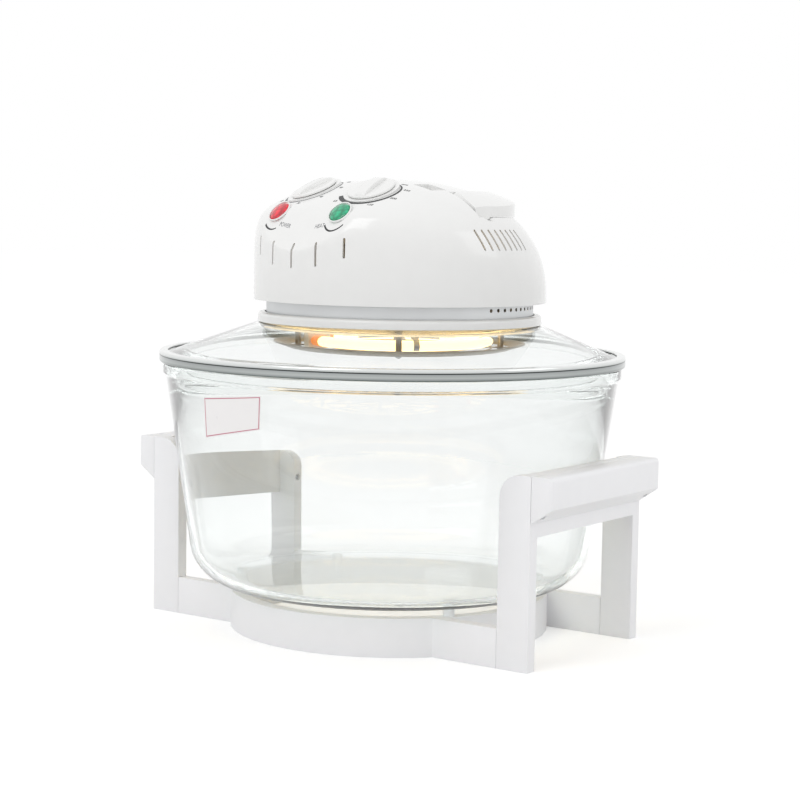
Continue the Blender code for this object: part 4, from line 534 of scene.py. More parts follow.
def spun(outline, steps=ROUND_STEPS):
    """Spin an outline of (radius, height) points about Z into a closed solid."""
    shape = bmesh.new()
    points = [shape.verts.new((radius, 0, height)) for radius, height in outline]
    edges = [shape.edges.new(pair) for pair in zip(points, points[1:])]
    if outline[0][0] > 0 or outline[-1][0] > 0:
        edges.append(shape.edges.new((points[-1], points[0])))
    bmesh.ops.spin(shape, geom=points + edges, cent=(0, 0, 0), axis=(0, 0, 1), dvec=(0, 0, 0),
                   angle=TURN, steps=steps, use_merge=True, use_duplicate=False)
    bmesh.ops.remove_doubles(shape, verts=shape.verts, dist=WELD)
    bmesh.ops.recalc_face_normals(shape, faces=shape.faces)
    return shape


def ring(inner, outer, low, high, steps=ROUND_STEPS):
    """Return a flat-ended ring about Z."""
    return spun([(inner, low), (outer, low), (outer, high), (inner, high)], steps)


def rod(radius, low, high, steps=PART_STEPS, spot=(0, 0)):
    """Return an upright cylinder."""
    shape = spun([(0, low), (radius, low), (radius, high), (0, high)], steps)
    return at(shape, *spot)


def thickened(shape, step):
    """Give flat faces a thickness by drawing a copy of them along a step."""
    grown = bmesh.ops.extrude_face_region(shape, geom=shape.faces[:])["geom"]
    points = [item for item in grown if isinstance(item, bmesh.types.BMVert)]
    bmesh.ops.translate(shape, verts=points, vec=step)
    bmesh.ops.recalc_face_normals(shape, faces=shape.faces)
    return shape


def prism(points, low, high):
    """Return an upright prism on a polygon of (x, y) points."""
    shape = bmesh.new()
    shape.faces.new([shape.verts.new((x, y, low)) for x, y in points])
    return thickened(shape, (0, 0, high - low))


def box(low, high):
    """Return a box between two corners."""
    shape = bmesh.new()
    bmesh.ops.create_cube(shape, size=1)
    size = [top - bottom for bottom, top in zip(low, high)]
    middle = [(top + bottom) / 2 for bottom, top in zip(low, high)]
    return moved(shape, Matrix.Translation(middle) @ Matrix.Diagonal((*size, 1)))


def across(radius, low, high, y, z, steps=PART_STEPS):
    """Return a cylinder along X."""
    return at(moved(rod(radius, low, high, steps), Matrix.Rotation(pi / 2, 4, "Y")), 0, y, z)


def bent_rod(radius, circle, start, sweep, steps, sides=SMALL_STEPS):
    """Return a round rod laid on an arc about Z, with flat ends or none."""
    shape = bmesh.new()
    end = bmesh.ops.create_circle(shape, cap_ends=sweep < TURN, segments=sides, radius=radius)["verts"]
    moved(shape, Matrix.Translation((circle, 0, 0)) @ Matrix.Rotation(pi / 2, 4, "X"))
    bmesh.ops.spin(shape, geom=end + shape.edges[:] + shape.faces[:], cent=(0, 0, 0), axis=(0, 0, 1),
                   dvec=(0, 0, 0), angle=sweep, steps=steps, use_merge=sweep == TURN, use_duplicate=False)
    bmesh.ops.remove_doubles(shape, verts=shape.verts, dist=WELD)
    bmesh.ops.recalc_face_normals(shape, faces=shape.faces)
    return moved(shape, Matrix.Rotation(start - pi / 2, 4, "Z"))


def moved(shape, matrix):
    """Return the shape after a move, still facing out."""
    bmesh.ops.transform(shape, matrix=matrix, verts=shape.verts)
    if matrix.determinant() < 0:
        bmesh.ops.reverse_faces(shape, faces=shape.faces)
    return shape


def at(shape, x, y, z=0):
    """Return the shape shifted to a place."""
    return moved(shape, Matrix.Translation((x, y, z)))


def sided(shape, side):
    """Return a shape made for the right side, mirrored where the side is -1."""
    return moved(shape, Matrix.Scale(side, 4, (1, 0, 0)))


def joined(*shapes):
    """Return one shape that holds several separate solids."""
    whole = bmesh.new()
    for shape in shapes:
        mesh = bpy.data.meshes.new("piece")
        shape.to_mesh(mesh)
        shape.free()
        whole.from_mesh(mesh)
        bpy.data.meshes.remove(mesh)
    return whole


def combined(shape, tool, operation):
    """Return the exact Boolean of two shapes; both are used up."""
    items = []
    for part in (shape, tool):
        mesh = bpy.data.meshes.new("operand")
        part.to_mesh(mesh)
        part.free()
        item = bpy.data.objects.new("operand", mesh)
        bpy.context.scene.collection.objects.link(item)
        items.append(item)
    modifier = items[0].modifiers.new("Boolean", "BOOLEAN")
    modifier.object = items[1]
    modifier.operation = operation
    result = bmesh.new()
    result.from_object(items[0], bpy.context.evaluated_depsgraph_get())
    for item in items:
        bpy.data.meshes.remove(item.data)
    return result


def cut(shape, *tools):
    """Return the shape with the tools taken away."""
    for tool in tools:
        shape = combined(shape, tool, "DIFFERENCE")
    return shape


def fused(shape, *others):
    """Return the shape grown together with the others."""
    for other in others:
        shape = combined(shape, other, "UNION")
    return shape


def eased(shape, width, segments=2, sharpest=SMOOTH_ANGLE):
    """Round the edges that turn more than an angle."""
    edges = [edge for edge in shape.edges if len(edge.link_faces) == 2 and edge.calc_face_angle(0) > sharpest]
    bmesh.ops.bevel(shape, geom=edges, offset=width, offset_type="OFFSET", segments=segments, profile=0.5,
                    affect="EDGES", clamp_overlap=True, material=-1)
    return shape


def copied(node, width=0.0, segments=2):
    """Return a copy of a CAD node with its triangles merged, flat faces whole and edges rounded."""
    shape = bmesh.new()
    shape.from_mesh(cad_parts[node].data)
    bmesh.ops.remove_doubles(shape, verts=shape.verts, dist=WELD)
    bmesh.ops.dissolve_limit(shape, angle_limit=FLAT_ANGLE, verts=shape.verts, edges=shape.edges)
    return eased(shape, width, segments) if width else shape


def show(name, shape, material, body, replaces=(), in_head=False, smooth=SMOOTH_ANGLE):
    """Turn a finished shape into a piece that rides on a body."""
    if in_head:
        moved(shape, HEAD)
    mesh = bpy.data.meshes.new(name)
    shape.to_mesh(mesh)
    shape.free()
    mesh.materials.append(bpy.data.materials[material])
    mesh.shade_smooth()
    mesh.set_sharp_from_angle(angle=smooth)
    piece = bpy.data.objects.new(name, mesh)
    bpy.context.scene.collection.objects.link(piece)
    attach(piece, body)
    if replaces:
        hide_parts(*replaces)


def arc(x, y, radius, start, end, steps=ARC_STEPS):
    """Return the points of an arc in a plane, both ends included."""
    return [(x + radius * cos(start + (end - start) * step / steps),
             y + radius * sin(start + (end - start) * step / steps)) for step in range(steps + 1)]


def polar(radius, angle):
    """Return the place at a radius and an angle measured from the front."""
    return radius * sin(angle), -radius * cos(angle)


def around(radius, start, count=4):
    """Return evenly spaced places on a circle."""
    return [polar(radius, start + TURN * index / count) for index in range(count)]


def facing(direction):
    """Return the turn that lays +Z along a direction."""
    return Vector(direction).to_track_quat("Z", "Y").to_matrix().to_4x4()


def smooth_min(first, second, blend):
    """Return the smaller of two values, with a rounded change between them."""
    overlap = max(blend - abs(first - second), 0) / blend
    return min(first, second) - overlap ** 2 * blend / 4


def dome_power(angle):
    """Return how square the dome's side is at an angle from the front."""
    return FRONT_POWER * (BACK_POWER / FRONT_POWER) ** ((1 - cos(angle)) / 2)


def faced(z, x, y, inset):
    """Return a height of the dome after the dial panel and the lamp brow have cut it."""
    crown = (DIAL_X ** 2 - x ** 2) / (2 * PANEL_CROWN)
    panel = DOME_LOW + PANEL_Z + crown + tan(PANEL_TILT) * (y + DIAL_Y) - inset / cos(PANEL_TILT)
    brow = DOME_LOW + BROW_Z + tan(BROW_TILT) * (y + LAMP_Y) - inset / cos(BROW_TILT)
    return smooth_min(smooth_min(z, brow, BROW_BLEND), panel, PANEL_BLEND)


def dome_top(x, y):
    """Return the height of the cover's outer face above a place."""
    share = min((x * x + y * y) / DOME_RADIUS ** 2, 1)
    return faced(DOME_LOW + DOME_HEIGHT * (1 - share) ** (1 / dome_power(atan2(x, -y))), x, y, 0)


def dome(inset, low, power=dome_power, panel=True):
    """Return the dome, or one inset from it, spun plain and then drawn to its shape."""
    lifts = [pi / 2 * (step / DOME_RINGS) ** RING_POWER for step in range(1, DOME_RINGS)]
    outline = [(0, -1), (1, -1), (1, 0)] + [(cos(lift), lift) for lift in lifts] + [(0, pi / 2)]
    shape = spun(outline, DOME_SEGMENTS)
    radius = DOME_RADIUS - inset
    for point in shape.verts:
        lift = point.co.z
        x, y = point.co.x * radius, point.co.y * radius
        z = low
        if lift >= 0:
            z = DOME_LOW + (DOME_HEIGHT - inset) * max(sin(lift), 0) ** (2 / power(atan2(x, -y)))
        if panel and lift > 0:
            z = faced(z, x, y, inset)
        point.co = (x, y, z)
    bmesh.ops.recalc_face_normals(shape, faces=shape.faces)
    return shape


def dial_frame(side):
    """Return the place and turn of a dial's seat; its +Z points out of the panel."""
    turn = Matrix.Rotation(side * DIAL_SPLAY, 4, "Z") @ Matrix.Rotation(PANEL_TILT, 4, "X")
    return Matrix.Translation((side * DIAL_X, -DIAL_Y, DOME_LOW + PANEL_Z)) @ turn


def lamp_frame(side):
    """Return the place and turn of a signal lamp; its +Z points out of the cover."""
    x, y, reach = side * LAMP_X, -LAMP_Y, LENS_RADIUS
    across_slope = (dome_top(x + reach, y) - dome_top(x - reach, y)) / (2 * reach)
    down_slope = (dome_top(x, y + reach) - dome_top(x, y - reach)) / (2 * reach)
    return Matrix.Translation((x, y, dome_top(x, y))) @ facing((-across_slope, -down_slope, 1))


def gland_frame():
    """Return the place and turn of the cord's gland; its +Z points out of the back."""
    return Matrix.Translation((0, DOME_RADIUS + GLAND_SEAT_PROUD, DOME_LOW + GLAND_Z)) @ facing((0, 1, 0))


def handle_channel(grow):
    """Return the space that the folded handle and the finger pockets take, grown by a wall."""
    inner = CHANNEL_INNER - grow
    front = HANDLE_PIVOT_Y - END_CLEAR - GAP - grow
    far = DOME_RADIUS + OVERRUN
    points = [(-inner, front)] + arc(0, 0, inner, pi, 0, PART_STEPS)
    points += [(inner, front), (far, front), (far, far), (-far, far), (-far, front)]
    shape = prism(points, CHANNEL_LOW - grow, DOME_TOP + OVERRUN)
    for side in (-1, 1):
        pivot = across(END_CLEAR + grow, inner, far - GAP, PIVOT.y, PIVOT.z)
        shape = fused(shape, sided(pivot, side))
        near, wide = sorted((side * (POCKET_X - grow), side * (POCKET_X + POCKET_WIDTH + grow)))
        shape = fused(shape, box((near, -POCKET_FRONT - grow, DOME_LOW + POCKET_FLOOR - grow),
                                 (wide, -POCKET_BACK + grow, DOME_TOP + OVERRUN + GAP)))
    return shape


def slot_cutter(angle, z, width, length, lean):
    """Return one air slot's cutter, which reaches through the dome's side."""
    cutter = box((-width / 2, -SLOT_REACH, -length / 2), (width / 2, SLOT_REACH, length / 2))
    ends = [edge for edge in cutter.edges if abs(edge.verts[0].co.y - edge.verts[1].co.y) > SLOT_REACH]
    bmesh.ops.bevel(cutter, geom=ends, offset=width * SLOT_ROUND_SHARE, offset_type="OFFSET", segments=3,
                    profile=0.5, affect="EDGES", clamp_overlap=True, material=-1)
    x, y = polar(DOME_RADIUS - SLOT_REACH / 2, angle)
    turn = Matrix.Rotation(angle, 4, "Z") @ Matrix.Rotation(lean, 4, "Y")
    return moved(cutter, Matrix.Translation((x, y, z)) @ turn)


def cover_holes():
    """Return the cutters of every hole that goes through the cover's wall."""
    holes = []
    for index, (length_share, rise_share) in enumerate(FRONT_SLOTS):
        angle = (index - (len(FRONT_SLOTS) - 1) / 2) * FRONT_SLOT_STEP
        z = DOME_LOW + FRONT_SLOT_Z + rise_share * FRONT_SLOT_RISE
        holes.append(slot_cutter(angle, z, FRONT_SLOT_WIDTH, FRONT_SLOT_LENGTH * length_share, 0))
    stem, lens = LENS_STEM_RADIUS + GAP, LENS_RADIUS + GAP
    well = [(0, -3 * OVERRUN), (stem, -3 * OVERRUN), (stem, -LENS_HEIGHT), (lens, -LENS_HEIGHT),
            (lens, 2 * OVERRUN), (0, 2 * OVERRUN)]
    for side in (-1, 1):
        for index in range(SIDE_SLOT_COUNT):
            angle = side * (SIDE_SLOT_FIRST + SIDE_SLOT_STEP * index)
            holes.append(slot_cutter(angle, DOME_LOW + SIDE_SLOT_Z, SIDE_SLOT_WIDTH, SIDE_SLOT_LENGTH,
                                     side * SIDE_SLOT_LEAN))
        holes.append(moved(rod(BUSH_RADIUS + GAP, -SEAT_DEPTH - OVERRUN, OVERRUN), dial_frame(side)))
        holes.append(moved(spun(well, PART_STEPS), lamp_frame(side)))
        pin = across(PIN_RADIUS + GAP, CHANNEL_INNER - DOME_WALL - OVERRUN, CHANNEL_INNER + OVERRUN,
                     PIVOT.y, PIVOT.z, SMALL_STEPS)
        holes.append(sided(pin, side))
    for spot in around(SCREW_CIRCLE, SCREW_ANGLE):
        holes.append(rod(SCREW_RADIUS + GAP, COVER_LOW - OVERRUN, COVER_LOW + COVER_SCREW_BITE + GAP,
                         SMALL_STEPS, spot))
    holes.append(rod(PLUNGER_RADIUS + GAP, CHANNEL_LOW - DOME_WALL - OVERRUN, CHANNEL_LOW + OVERRUN,
                     SMALL_STEPS, (SWITCH_X, SWITCH_Y)))
    holes.append(moved(rod(GLAND_NECK + GLAND_CLEAR, -GLAND_SEAT_DEPTH - OVERRUN, OVERRUN), gland_frame()))
    return joined(*holes)


class OVEN_OT_cover(bpy.types.Operator):
    """Build the tall moulded cover with its panel, slots and handle channel"""

    bl_idname = "oven.cover"
    bl_label = "Head cover"

    def execute(self, context):
        """Cut the cover from the dome as the mould's cores would."""
        seats = [moved(rod(SEAT_RADIUS, -SEAT_DEPTH, SEAT_PROUD, 2 * PART_STEPS), dial_frame(side))
                 for side in (-1, 1)]
        seats.append(moved(rod(GLAND_SEAT_RADIUS, -GLAND_SEAT_DEPTH, 0), gland_frame()))
        outer = cut(fused(dome(0, COVER_LOW), joined(*seats)), handle_channel(0))
        kept = [rod(COVER_BOSS_RADIUS, COVER_LOW - 2 * OVERRUN, DOME_TOP, SMALL_STEPS, spot)
                for spot in around(SCREW_CIRCLE, SCREW_ANGLE)]
        kept.append(moved(rod(GLAND_SEAT_RADIUS, -GLAND_SEAT_DEPTH, OVERRUN), gland_frame()))
        for side in (-1, 1):
            kept.append(moved(rod(SEAT_RADIUS, -SEAT_DEPTH, OVERRUN, 2 * PART_STEPS), dial_frame(side)))
            lens_seat = rod(LENS_SEAT_RADIUS, -LENS_HEIGHT - LENS_FLOOR, 2 * OVERRUN)
            kept.append(moved(lens_seat, lamp_frame(side)))
        cavity = cut(dome(DOME_WALL, COVER_LOW - OVERRUN), handle_channel(DOME_WALL))
        cavity = cut(cavity, joined(*kept))
        cover = cut(outer, cavity, cover_holes())
        bmesh.ops.remove_doubles(cover, verts=cover.verts, dist=WELD)
        show("cover_shell", cover, "gloss_moulded_polypropylene", "lid", ["head_cover"], True)
        return {"FINISHED"}


class OVEN_OT_controls(bpy.types.Operator):
    """Build the two knobs, their spindles and the bodies behind the panel"""

    bl_idname = "oven.controls"
    bl_label = "Knobs and controls"

    def execute(self, context):
        """Build the same control on both sides."""
        seat = SEAT_PROUD + KNOB_CLEAR
        top = seat + KNOB_HEIGHT
        bore = seat + KNOB_BORE_DEPTH
        reach = KNOB_RADIUS - 2 * KNOB_ROUND
        crest = [(x, top + KNOB_GRIP_HEIGHT * z) for x, z in arc(0, 0, 1, 0, pi, 2 * ARC_STEPS)]
        crest = [(reach * x, z) for x, z in crest] + [(-reach, top - KNOB_ROUND), (reach, top - KNOB_ROUND)]
        lay = Matrix.Rotation(pi / 2, 4, "Z") @ Matrix.Translation((0, KNOB_GRIP_WIDTH / 2, 0))
        for name in ("timer", "thermostat"):
            low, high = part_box(name + "_knob")
            middle = HEAD.inverted() @ Vector([(a + b) / 2 for a, b in zip(low, high)])
            place = dial_frame(1 if middle.x > 0 else -1)
            outline = [(0, seat), (KNOB_RADIUS - KNOB_ROUND / 2, seat), (KNOB_RADIUS, seat + KNOB_ROUND / 2)]
            outline += arc(KNOB_RADIUS - KNOB_ROUND, top - KNOB_ROUND, KNOB_ROUND, 0, pi / 2, 4)
            disc = spun(outline + [(0, top)], 2 * PART_STEPS)
            grip = eased(prism(crest, 0, KNOB_GRIP_WIDTH), KNOB_ROUND, 3)
            knob = fused(disc, moved(grip, lay @ Matrix.Rotation(pi / 2, 4, "X")))
            knob = moved(cut(knob, rod(SPINDLE_RADIUS + GAP, seat - OVERRUN, bore)), place)
            show(name + "_grip", knob, "gloss_moulded_polypropylene", name, [name + "_knob"], True)
            spindle = eased(rod(SPINDLE_RADIUS, -SPINDLE_SUNK, bore - GAP), FINE_EDGE)
            show(name + "_axle", moved(spindle, place), "zinc_plated_steel", name, [name + "_spindle"], True)
            case = copied(name + "_body", FINE_EDGE)
            show(name + "_case", case, "glass_filled_nylon", "lid", [name + "_body"])
        return {"FINISHED"}


class OVEN_OT_signals(bpy.types.Operator):
    """Build the red and the green signal lamp with their white rims"""

    bl_idname = "oven.signals"
    bl_label = "Signal lamps"

    def execute(self, context):
        """Spin each lens with its stem."""
        low = GAP - LENS_HEIGHT
        under = low - LENS_STEM_LENGTH
        rim = LENS_RADIUS - FINE_EDGE
        crown = [(rim * x, LENS_PROUD * z) for x, z in arc(0, 0, 1, 0, pi / 2)]
        outline = [(0, under), (LENS_STEM_RADIUS, under), (LENS_STEM_RADIUS, low), (LENS_RADIUS, low),
                   (LENS_RADIUS, -FINE_EDGE)] + crown[:-1] + [(0, LENS_PROUD)]
        bezel = [(LENS_RADIUS + GAP, -FINE_EDGE), (LENS_RADIUS + RIM_WIDTH, -FINE_EDGE)]
        bezel += arc(LENS_RADIUS + GAP + (RIM_WIDTH - GAP) / 2, RIM_LIFT / 2, (RIM_WIDTH - GAP) / 2, 0, pi)
        for name, node, side, finish in (("red_signal", "power_lamp", -1, "clear_red_acrylic"),
                                         ("green_signal", "heat_lamp", 1, "clear_green_acrylic")):
            show(name, moved(spun(outline, PART_STEPS), lamp_frame(side)), finish, "lid", [node], True)
            rim_ring = moved(spun(bezel, PART_STEPS), lamp_frame(side))
            show(name + "_rim", rim_ring, "gloss_moulded_polypropylene", "lid", (), True)
        return {"FINISHED"}


class OVEN_OT_handle(bpy.types.Operator):
    """Build the carrying bail that folds into the cover, and its pins"""

    bl_idname = "oven.handle"
    bl_label = "Carrying handle"

    def execute(self, context):
        """Cut the bail from a dome of its own."""
        low = DOME_LOW + HANDLE_LOW
        front = HANDLE_PIVOT_Y - HANDLE_END
        outer = [(HANDLE_OUTER * x, HANDLE_BACK * y) for x, y in arc(0, 0, 1, 0, pi, PART_STEPS)]
        plan = [(HANDLE_OUTER, front)] + outer + [(-HANDLE_OUTER, front), (-HANDLE_INNER, front)]
        plan += arc(0, 0, HANDLE_INNER, pi, 0, PART_STEPS) + [(HANDLE_INNER, front)]
        bail = combined(prism(plan, low - HANDLE_END, DOME_TOP),
                        dome(0, COVER_LOW, lambda angle: HANDLE_POWER, False), "INTERSECT")
        far = HANDLE_OUTER + OVERRUN
        rail = box((-far, PIVOT.y, low), (far, HANDLE_BACK + OVERRUN, DOME_TOP + OVERRUN))
        bail = combined(bail, fused(rail, across(HANDLE_END, -far, far, PIVOT.y, PIVOT.z)), "INTERSECT")
        for side in (-1, 1):
            bore = across(PIN_RADIUS + GAP, HANDLE_INNER - OVERRUN, HANDLE_INNER + PIN_REACH + GAP,
                          PIVOT.y, PIVOT.z, SMALL_STEPS)
            bail = cut(bail, sided(bore, side))
        bmesh.ops.remove_doubles(bail, verts=bail.verts, dist=WELD)
        show("bail_handle", bail, "gloss_moulded_polypropylene", "handle", ["carry_handle"], True)
        pins = joined(copied("handle_pin_1", GAP), copied("handle_pin_2", GAP))
        show("bail_pins", pins, "zinc_plated_steel", "lid", ["handle_pin_1", "handle_pin_2"])
        return {"FINISHED"}


class OVEN_OT_base(bpy.types.Operator):
    """Build the moulded base, the seal and the perforated collar above the glass"""

    bl_idname = "oven.base"
    bl_label = "Head base"

    def execute(self, context):
        """Spin the base and the rings that lie on it."""
        inner = SEAL_OUTER + 2 * GAP
        outline = [(inner, BASE_LOW), (BASE_RADIUS - FINE_EDGE, BASE_LOW)]
        outline.append((BASE_RADIUS, BASE_LOW + FINE_EDGE))
        outline += arc(BASE_RADIUS - BASE_BEVEL, BASE_TOP - BASE_BEVEL, BASE_BEVEL, 0, pi / 2)
        outline += [(BASE_RADIUS - BASE_LIP, BASE_TOP), (BASE_RADIUS - BASE_LIP, DECK), (BASE_HOLE, DECK),
                    (BASE_HOLE, DECK_LOW), (inner, DECK_LOW)]
        shape = spun(outline)
        bury = BASE_DECK / 2
        grown, bored = [], []
        for spot in around(SCREW_CIRCLE, SCREW_ANGLE):
            grown += [rod(LUG_RADIUS, LAND_UNDER, DECK_LOW + bury, SMALL_STEPS, spot),
                      rod(STANDOFF_RADIUS, DECK - bury, COVER_LOW - GAP, SMALL_STEPS, spot)]
            bored.append(rod(SCREW_RADIUS + GAP, LAND_UNDER - OVERRUN, COVER_LOW + OVERRUN, SMALL_STEPS,
                             spot))
        for spot in around(GUARD_POST_CIRCLE, SCREW_ANGLE):
            grown.append(rod(LUG_RADIUS, PAN_TOP + GAP, DECK_LOW + bury, SMALL_STEPS, spot))
            bored.append(rod(GUARD_STUD_RADIUS + GAP, PAN_TOP - OVERRUN, DECK_LOW - GAP, SMALL_STEPS, spot))
        base = cut(fused(shape, joined(*grown)), joined(*bored))
        show("base_ring", base, "gloss_moulded_polypropylene", "lid", ["head_base"], True)
        seal = eased(ring(SEAL_INNER, SEAL_OUTER, LAND + GAP, LAND + GAP + SEAL_HEIGHT), GAP)
        show("glass_seal", seal, "moulded_silicone_rubber", "lid", ["lid_seal"], True)
        collar = ring(COLLAR_RADIUS - COLLAR_SHEET, COLLAR_RADIUS, DECK + GAP, COVER_LOW + COLLAR_OVERLAP)
        holes = []
        for index in range(COLLAR_HOLE_COUNT):
            x, y = polar(COLLAR_RADIUS, COLLAR_HOLE_FIRST + COLLAR_HOLE_STEP * index)
            lay = Matrix.Translation((x, y, DECK + COLLAR_HOLE_Z)) @ facing((x, y, 0))
            holes.append(moved(rod(COLLAR_HOLE_RADIUS, -OVERRUN, OVERRUN, SMALL_STEPS), lay))
        collar = cut(collar, joined(*holes))
        show("air_collar", collar, "pressed_aluminium_sheet", "lid", ["vent_collar"], True)
        clamp = eased(ring(CLAMP_INNER, SEAL_OUTER, CLAMP_TOP - CLAMP_SHEET, CLAMP_TOP), GAP)
        bores = [rod(SCREW_RADIUS + GAP, CLAMP_TOP - 2 * OVERRUN, CLAMP_TOP + OVERRUN, SMALL_STEPS, spot)
                 for spot in around(SCREW_CIRCLE, SCREW_ANGLE)]
        # The clamp ring has the same painted amber glow as the pan
        show("clamp_ring", cut(clamp, joined(*bores)), "aluminium_painted_lamp_glow", "lid", ["glass_clamp"], True)
        return {"FINISHED"}


class OVEN_OT_lid(bpy.types.Operator):
    """Build the conical glass lid and the steel band pressed round its edge"""

    bl_idname = "oven.lid"
    bl_label = "Glass lid"

    def execute(self, context):
        """Spin the glass, lean its land back and roll the band."""
        slope = LID_RISE / (LID_SHOULDER - LAND_RADIUS)
        under = LID_EDGE_TOP + slope * (LID_SHOULDER - LID_INNER_RADIUS) - LID_GLASS * sqrt(1 + slope ** 2)
        outline = [(LID_HOLE, LAND_UNDER), (LAND_RADIUS - LID_GLASS * slope / 2, LAND_UNDER),
                   (LID_INNER_RADIUS, under), (LID_INNER_RADIUS, LID_LOW - LID_LIP_DEPTH),
                   (LID_LIP_RADIUS, LID_LOW - LID_LIP_DEPTH), (LID_LIP_RADIUS, LID_LOW),
                   (LID_RADIUS, LID_LOW), (LID_RADIUS, LID_EDGE_TOP), (LID_SHOULDER, LID_EDGE_TOP),
                   (LAND_RADIUS, LAND), (LID_HOLE, LAND)]
        shape = eased(spun(outline), GLASS_EDGE, 3, LID_SHARPEST)
        for point in shape.verts:
            radius = point.co.xy.length
            share = min(max((LID_INNER_RADIUS - radius) / (LID_INNER_RADIUS - LAND_RADIUS), 0), 1)
            point.co.y += share * HEAD_SETBACK
        show("lid_cone", moved(shape, LID_TURN), "tempered_lid_glass", "lid", ["lid_glass"])
        inner = BAND_RADIUS - BAND_LIP
        sheet = BAND_RADIUS - BAND_SHEET
        groove = BAND_LOW + BAND_GROOVE_SHARE * (BAND_TOP - BAND_LOW)
        outline = [(inner, BAND_LOW)]
        outline += arc(BAND_RADIUS - BAND_BEND, BAND_LOW + BAND_BEND, BAND_BEND, -pi / 2, 0, 6)
        outline += [(BAND_RADIUS, groove - BAND_GROOVE), (BAND_RADIUS - BAND_GROOVE, groove),
                    (BAND_RADIUS, groove + BAND_GROOVE)]
        outline += arc(BAND_RADIUS - BAND_BEND, BAND_TOP - BAND_BEND, BAND_BEND, 0, pi / 2, 6)
        outline += [(inner, BAND_TOP), (inner, BAND_TOP - BAND_SHEET), (sheet, BAND_TOP - BAND_SHEET),
                    (sheet, BAND_LOW + BAND_SHEET), (inner, BAND_LOW + BAND_SHEET)]
        show("steel_band", moved(spun(outline), LID_TURN), "stainless_strip_painted_shade_and_highlight", "lid", ["lid_band"])
        return {"FINISHED"}


class OVEN_OT_bowl(bpy.types.Operator):
    """Build the glass bowl and the blank label on its wall"""

    bl_idname = "oven.bowl"
    bl_label = "Glass bowl"

    def execute(self, context):
        """Spin the bowl and bend the label to its wall."""
        width, height = context.scene.oven_sizes.label_width, context.scene.oven_sizes.label_height
        middle_z = BOWL_LOW + BOWL_CORNER
        inner_top = BOWL_RADIUS - BOWL_WALL / cos(BOWL_LEAN)
        outline = [(0, BOWL_LOW)] + arc(BOWL_FLAT, middle_z, BOWL_CORNER, -pi / 2, -BOWL_LEAN)
        outline += [(BOWL_RADIUS, WALL_TOP), (LIP_RADIUS, RIM - LIP_LOW), (LIP_RADIUS, RIM - LIP_HIGH)]
        outline += arc(LIP_RADIUS - LIP_HIGH, RIM - LIP_HIGH, LIP_HIGH, 0, pi / 2, 5)[1:]
        outline += [(inner_top + LIP_HIGH / 2, RIM), (inner_top, RIM - LIP_HIGH), (inner_top, WALL_TOP)]
        outline += arc(BOWL_FLAT, middle_z, BOWL_CORNER - BOWL_WALL, -BOWL_LEAN, -pi / 2)
        outline += [(0, BOWL_LOW + BOWL_WALL)]
        show("bowl_glass", spun(outline), "pressed_soda_lime_glass", "bowl", ["glass_bowl"],
             smooth=BOWL_SMOOTH_ANGLE)
        for name, finish, margin, band, lift in (
                ("label_sheet", "filmed_label_paper", 0, 0, 1),
                ("label_frame", "rose_label_ink", LABEL_MARGIN, LABEL_LINE, 2)):
            shape = bmesh.new()
            bmesh.ops.create_grid(shape, x_segments=LABEL_GRID[0], y_segments=LABEL_GRID[1], size=0.5)
            moved(shape, Matrix.Diagonal((width - 2 * margin, height - 2 * margin, 1, 1)))
            if band:
                edge = bmesh.ops.inset_region(shape, faces=shape.faces[:], thickness=band, use_boundary=True,
                                              use_even_offset=True)["faces"]
                inside = [face for face in shape.faces if face not in set(edge)]
                bmesh.ops.delete(shape, geom=inside, context="FACES")
            thickened(shape, (0, 0, INK))
            for point in shape.verts:
                side, rise = point.co.x / width + 0.5, point.co.y / height + 0.5
                left = Vector(LABEL_CORNERS[0]).lerp(Vector(LABEL_CORNERS[2]), rise)
                right = Vector(LABEL_CORNERS[1]).lerp(Vector(LABEL_CORNERS[3]), rise)
                angle, z = left.lerp(right, side)
                wall = BOWL_RADIUS - BOWL_TAPER * max(WALL_TOP - z, 0) + INK * lift + point.co.z
                point.co = (*polar(wall, angle), z)
            show(name, shape, finish, "bowl")
        return {"FINISHED"}


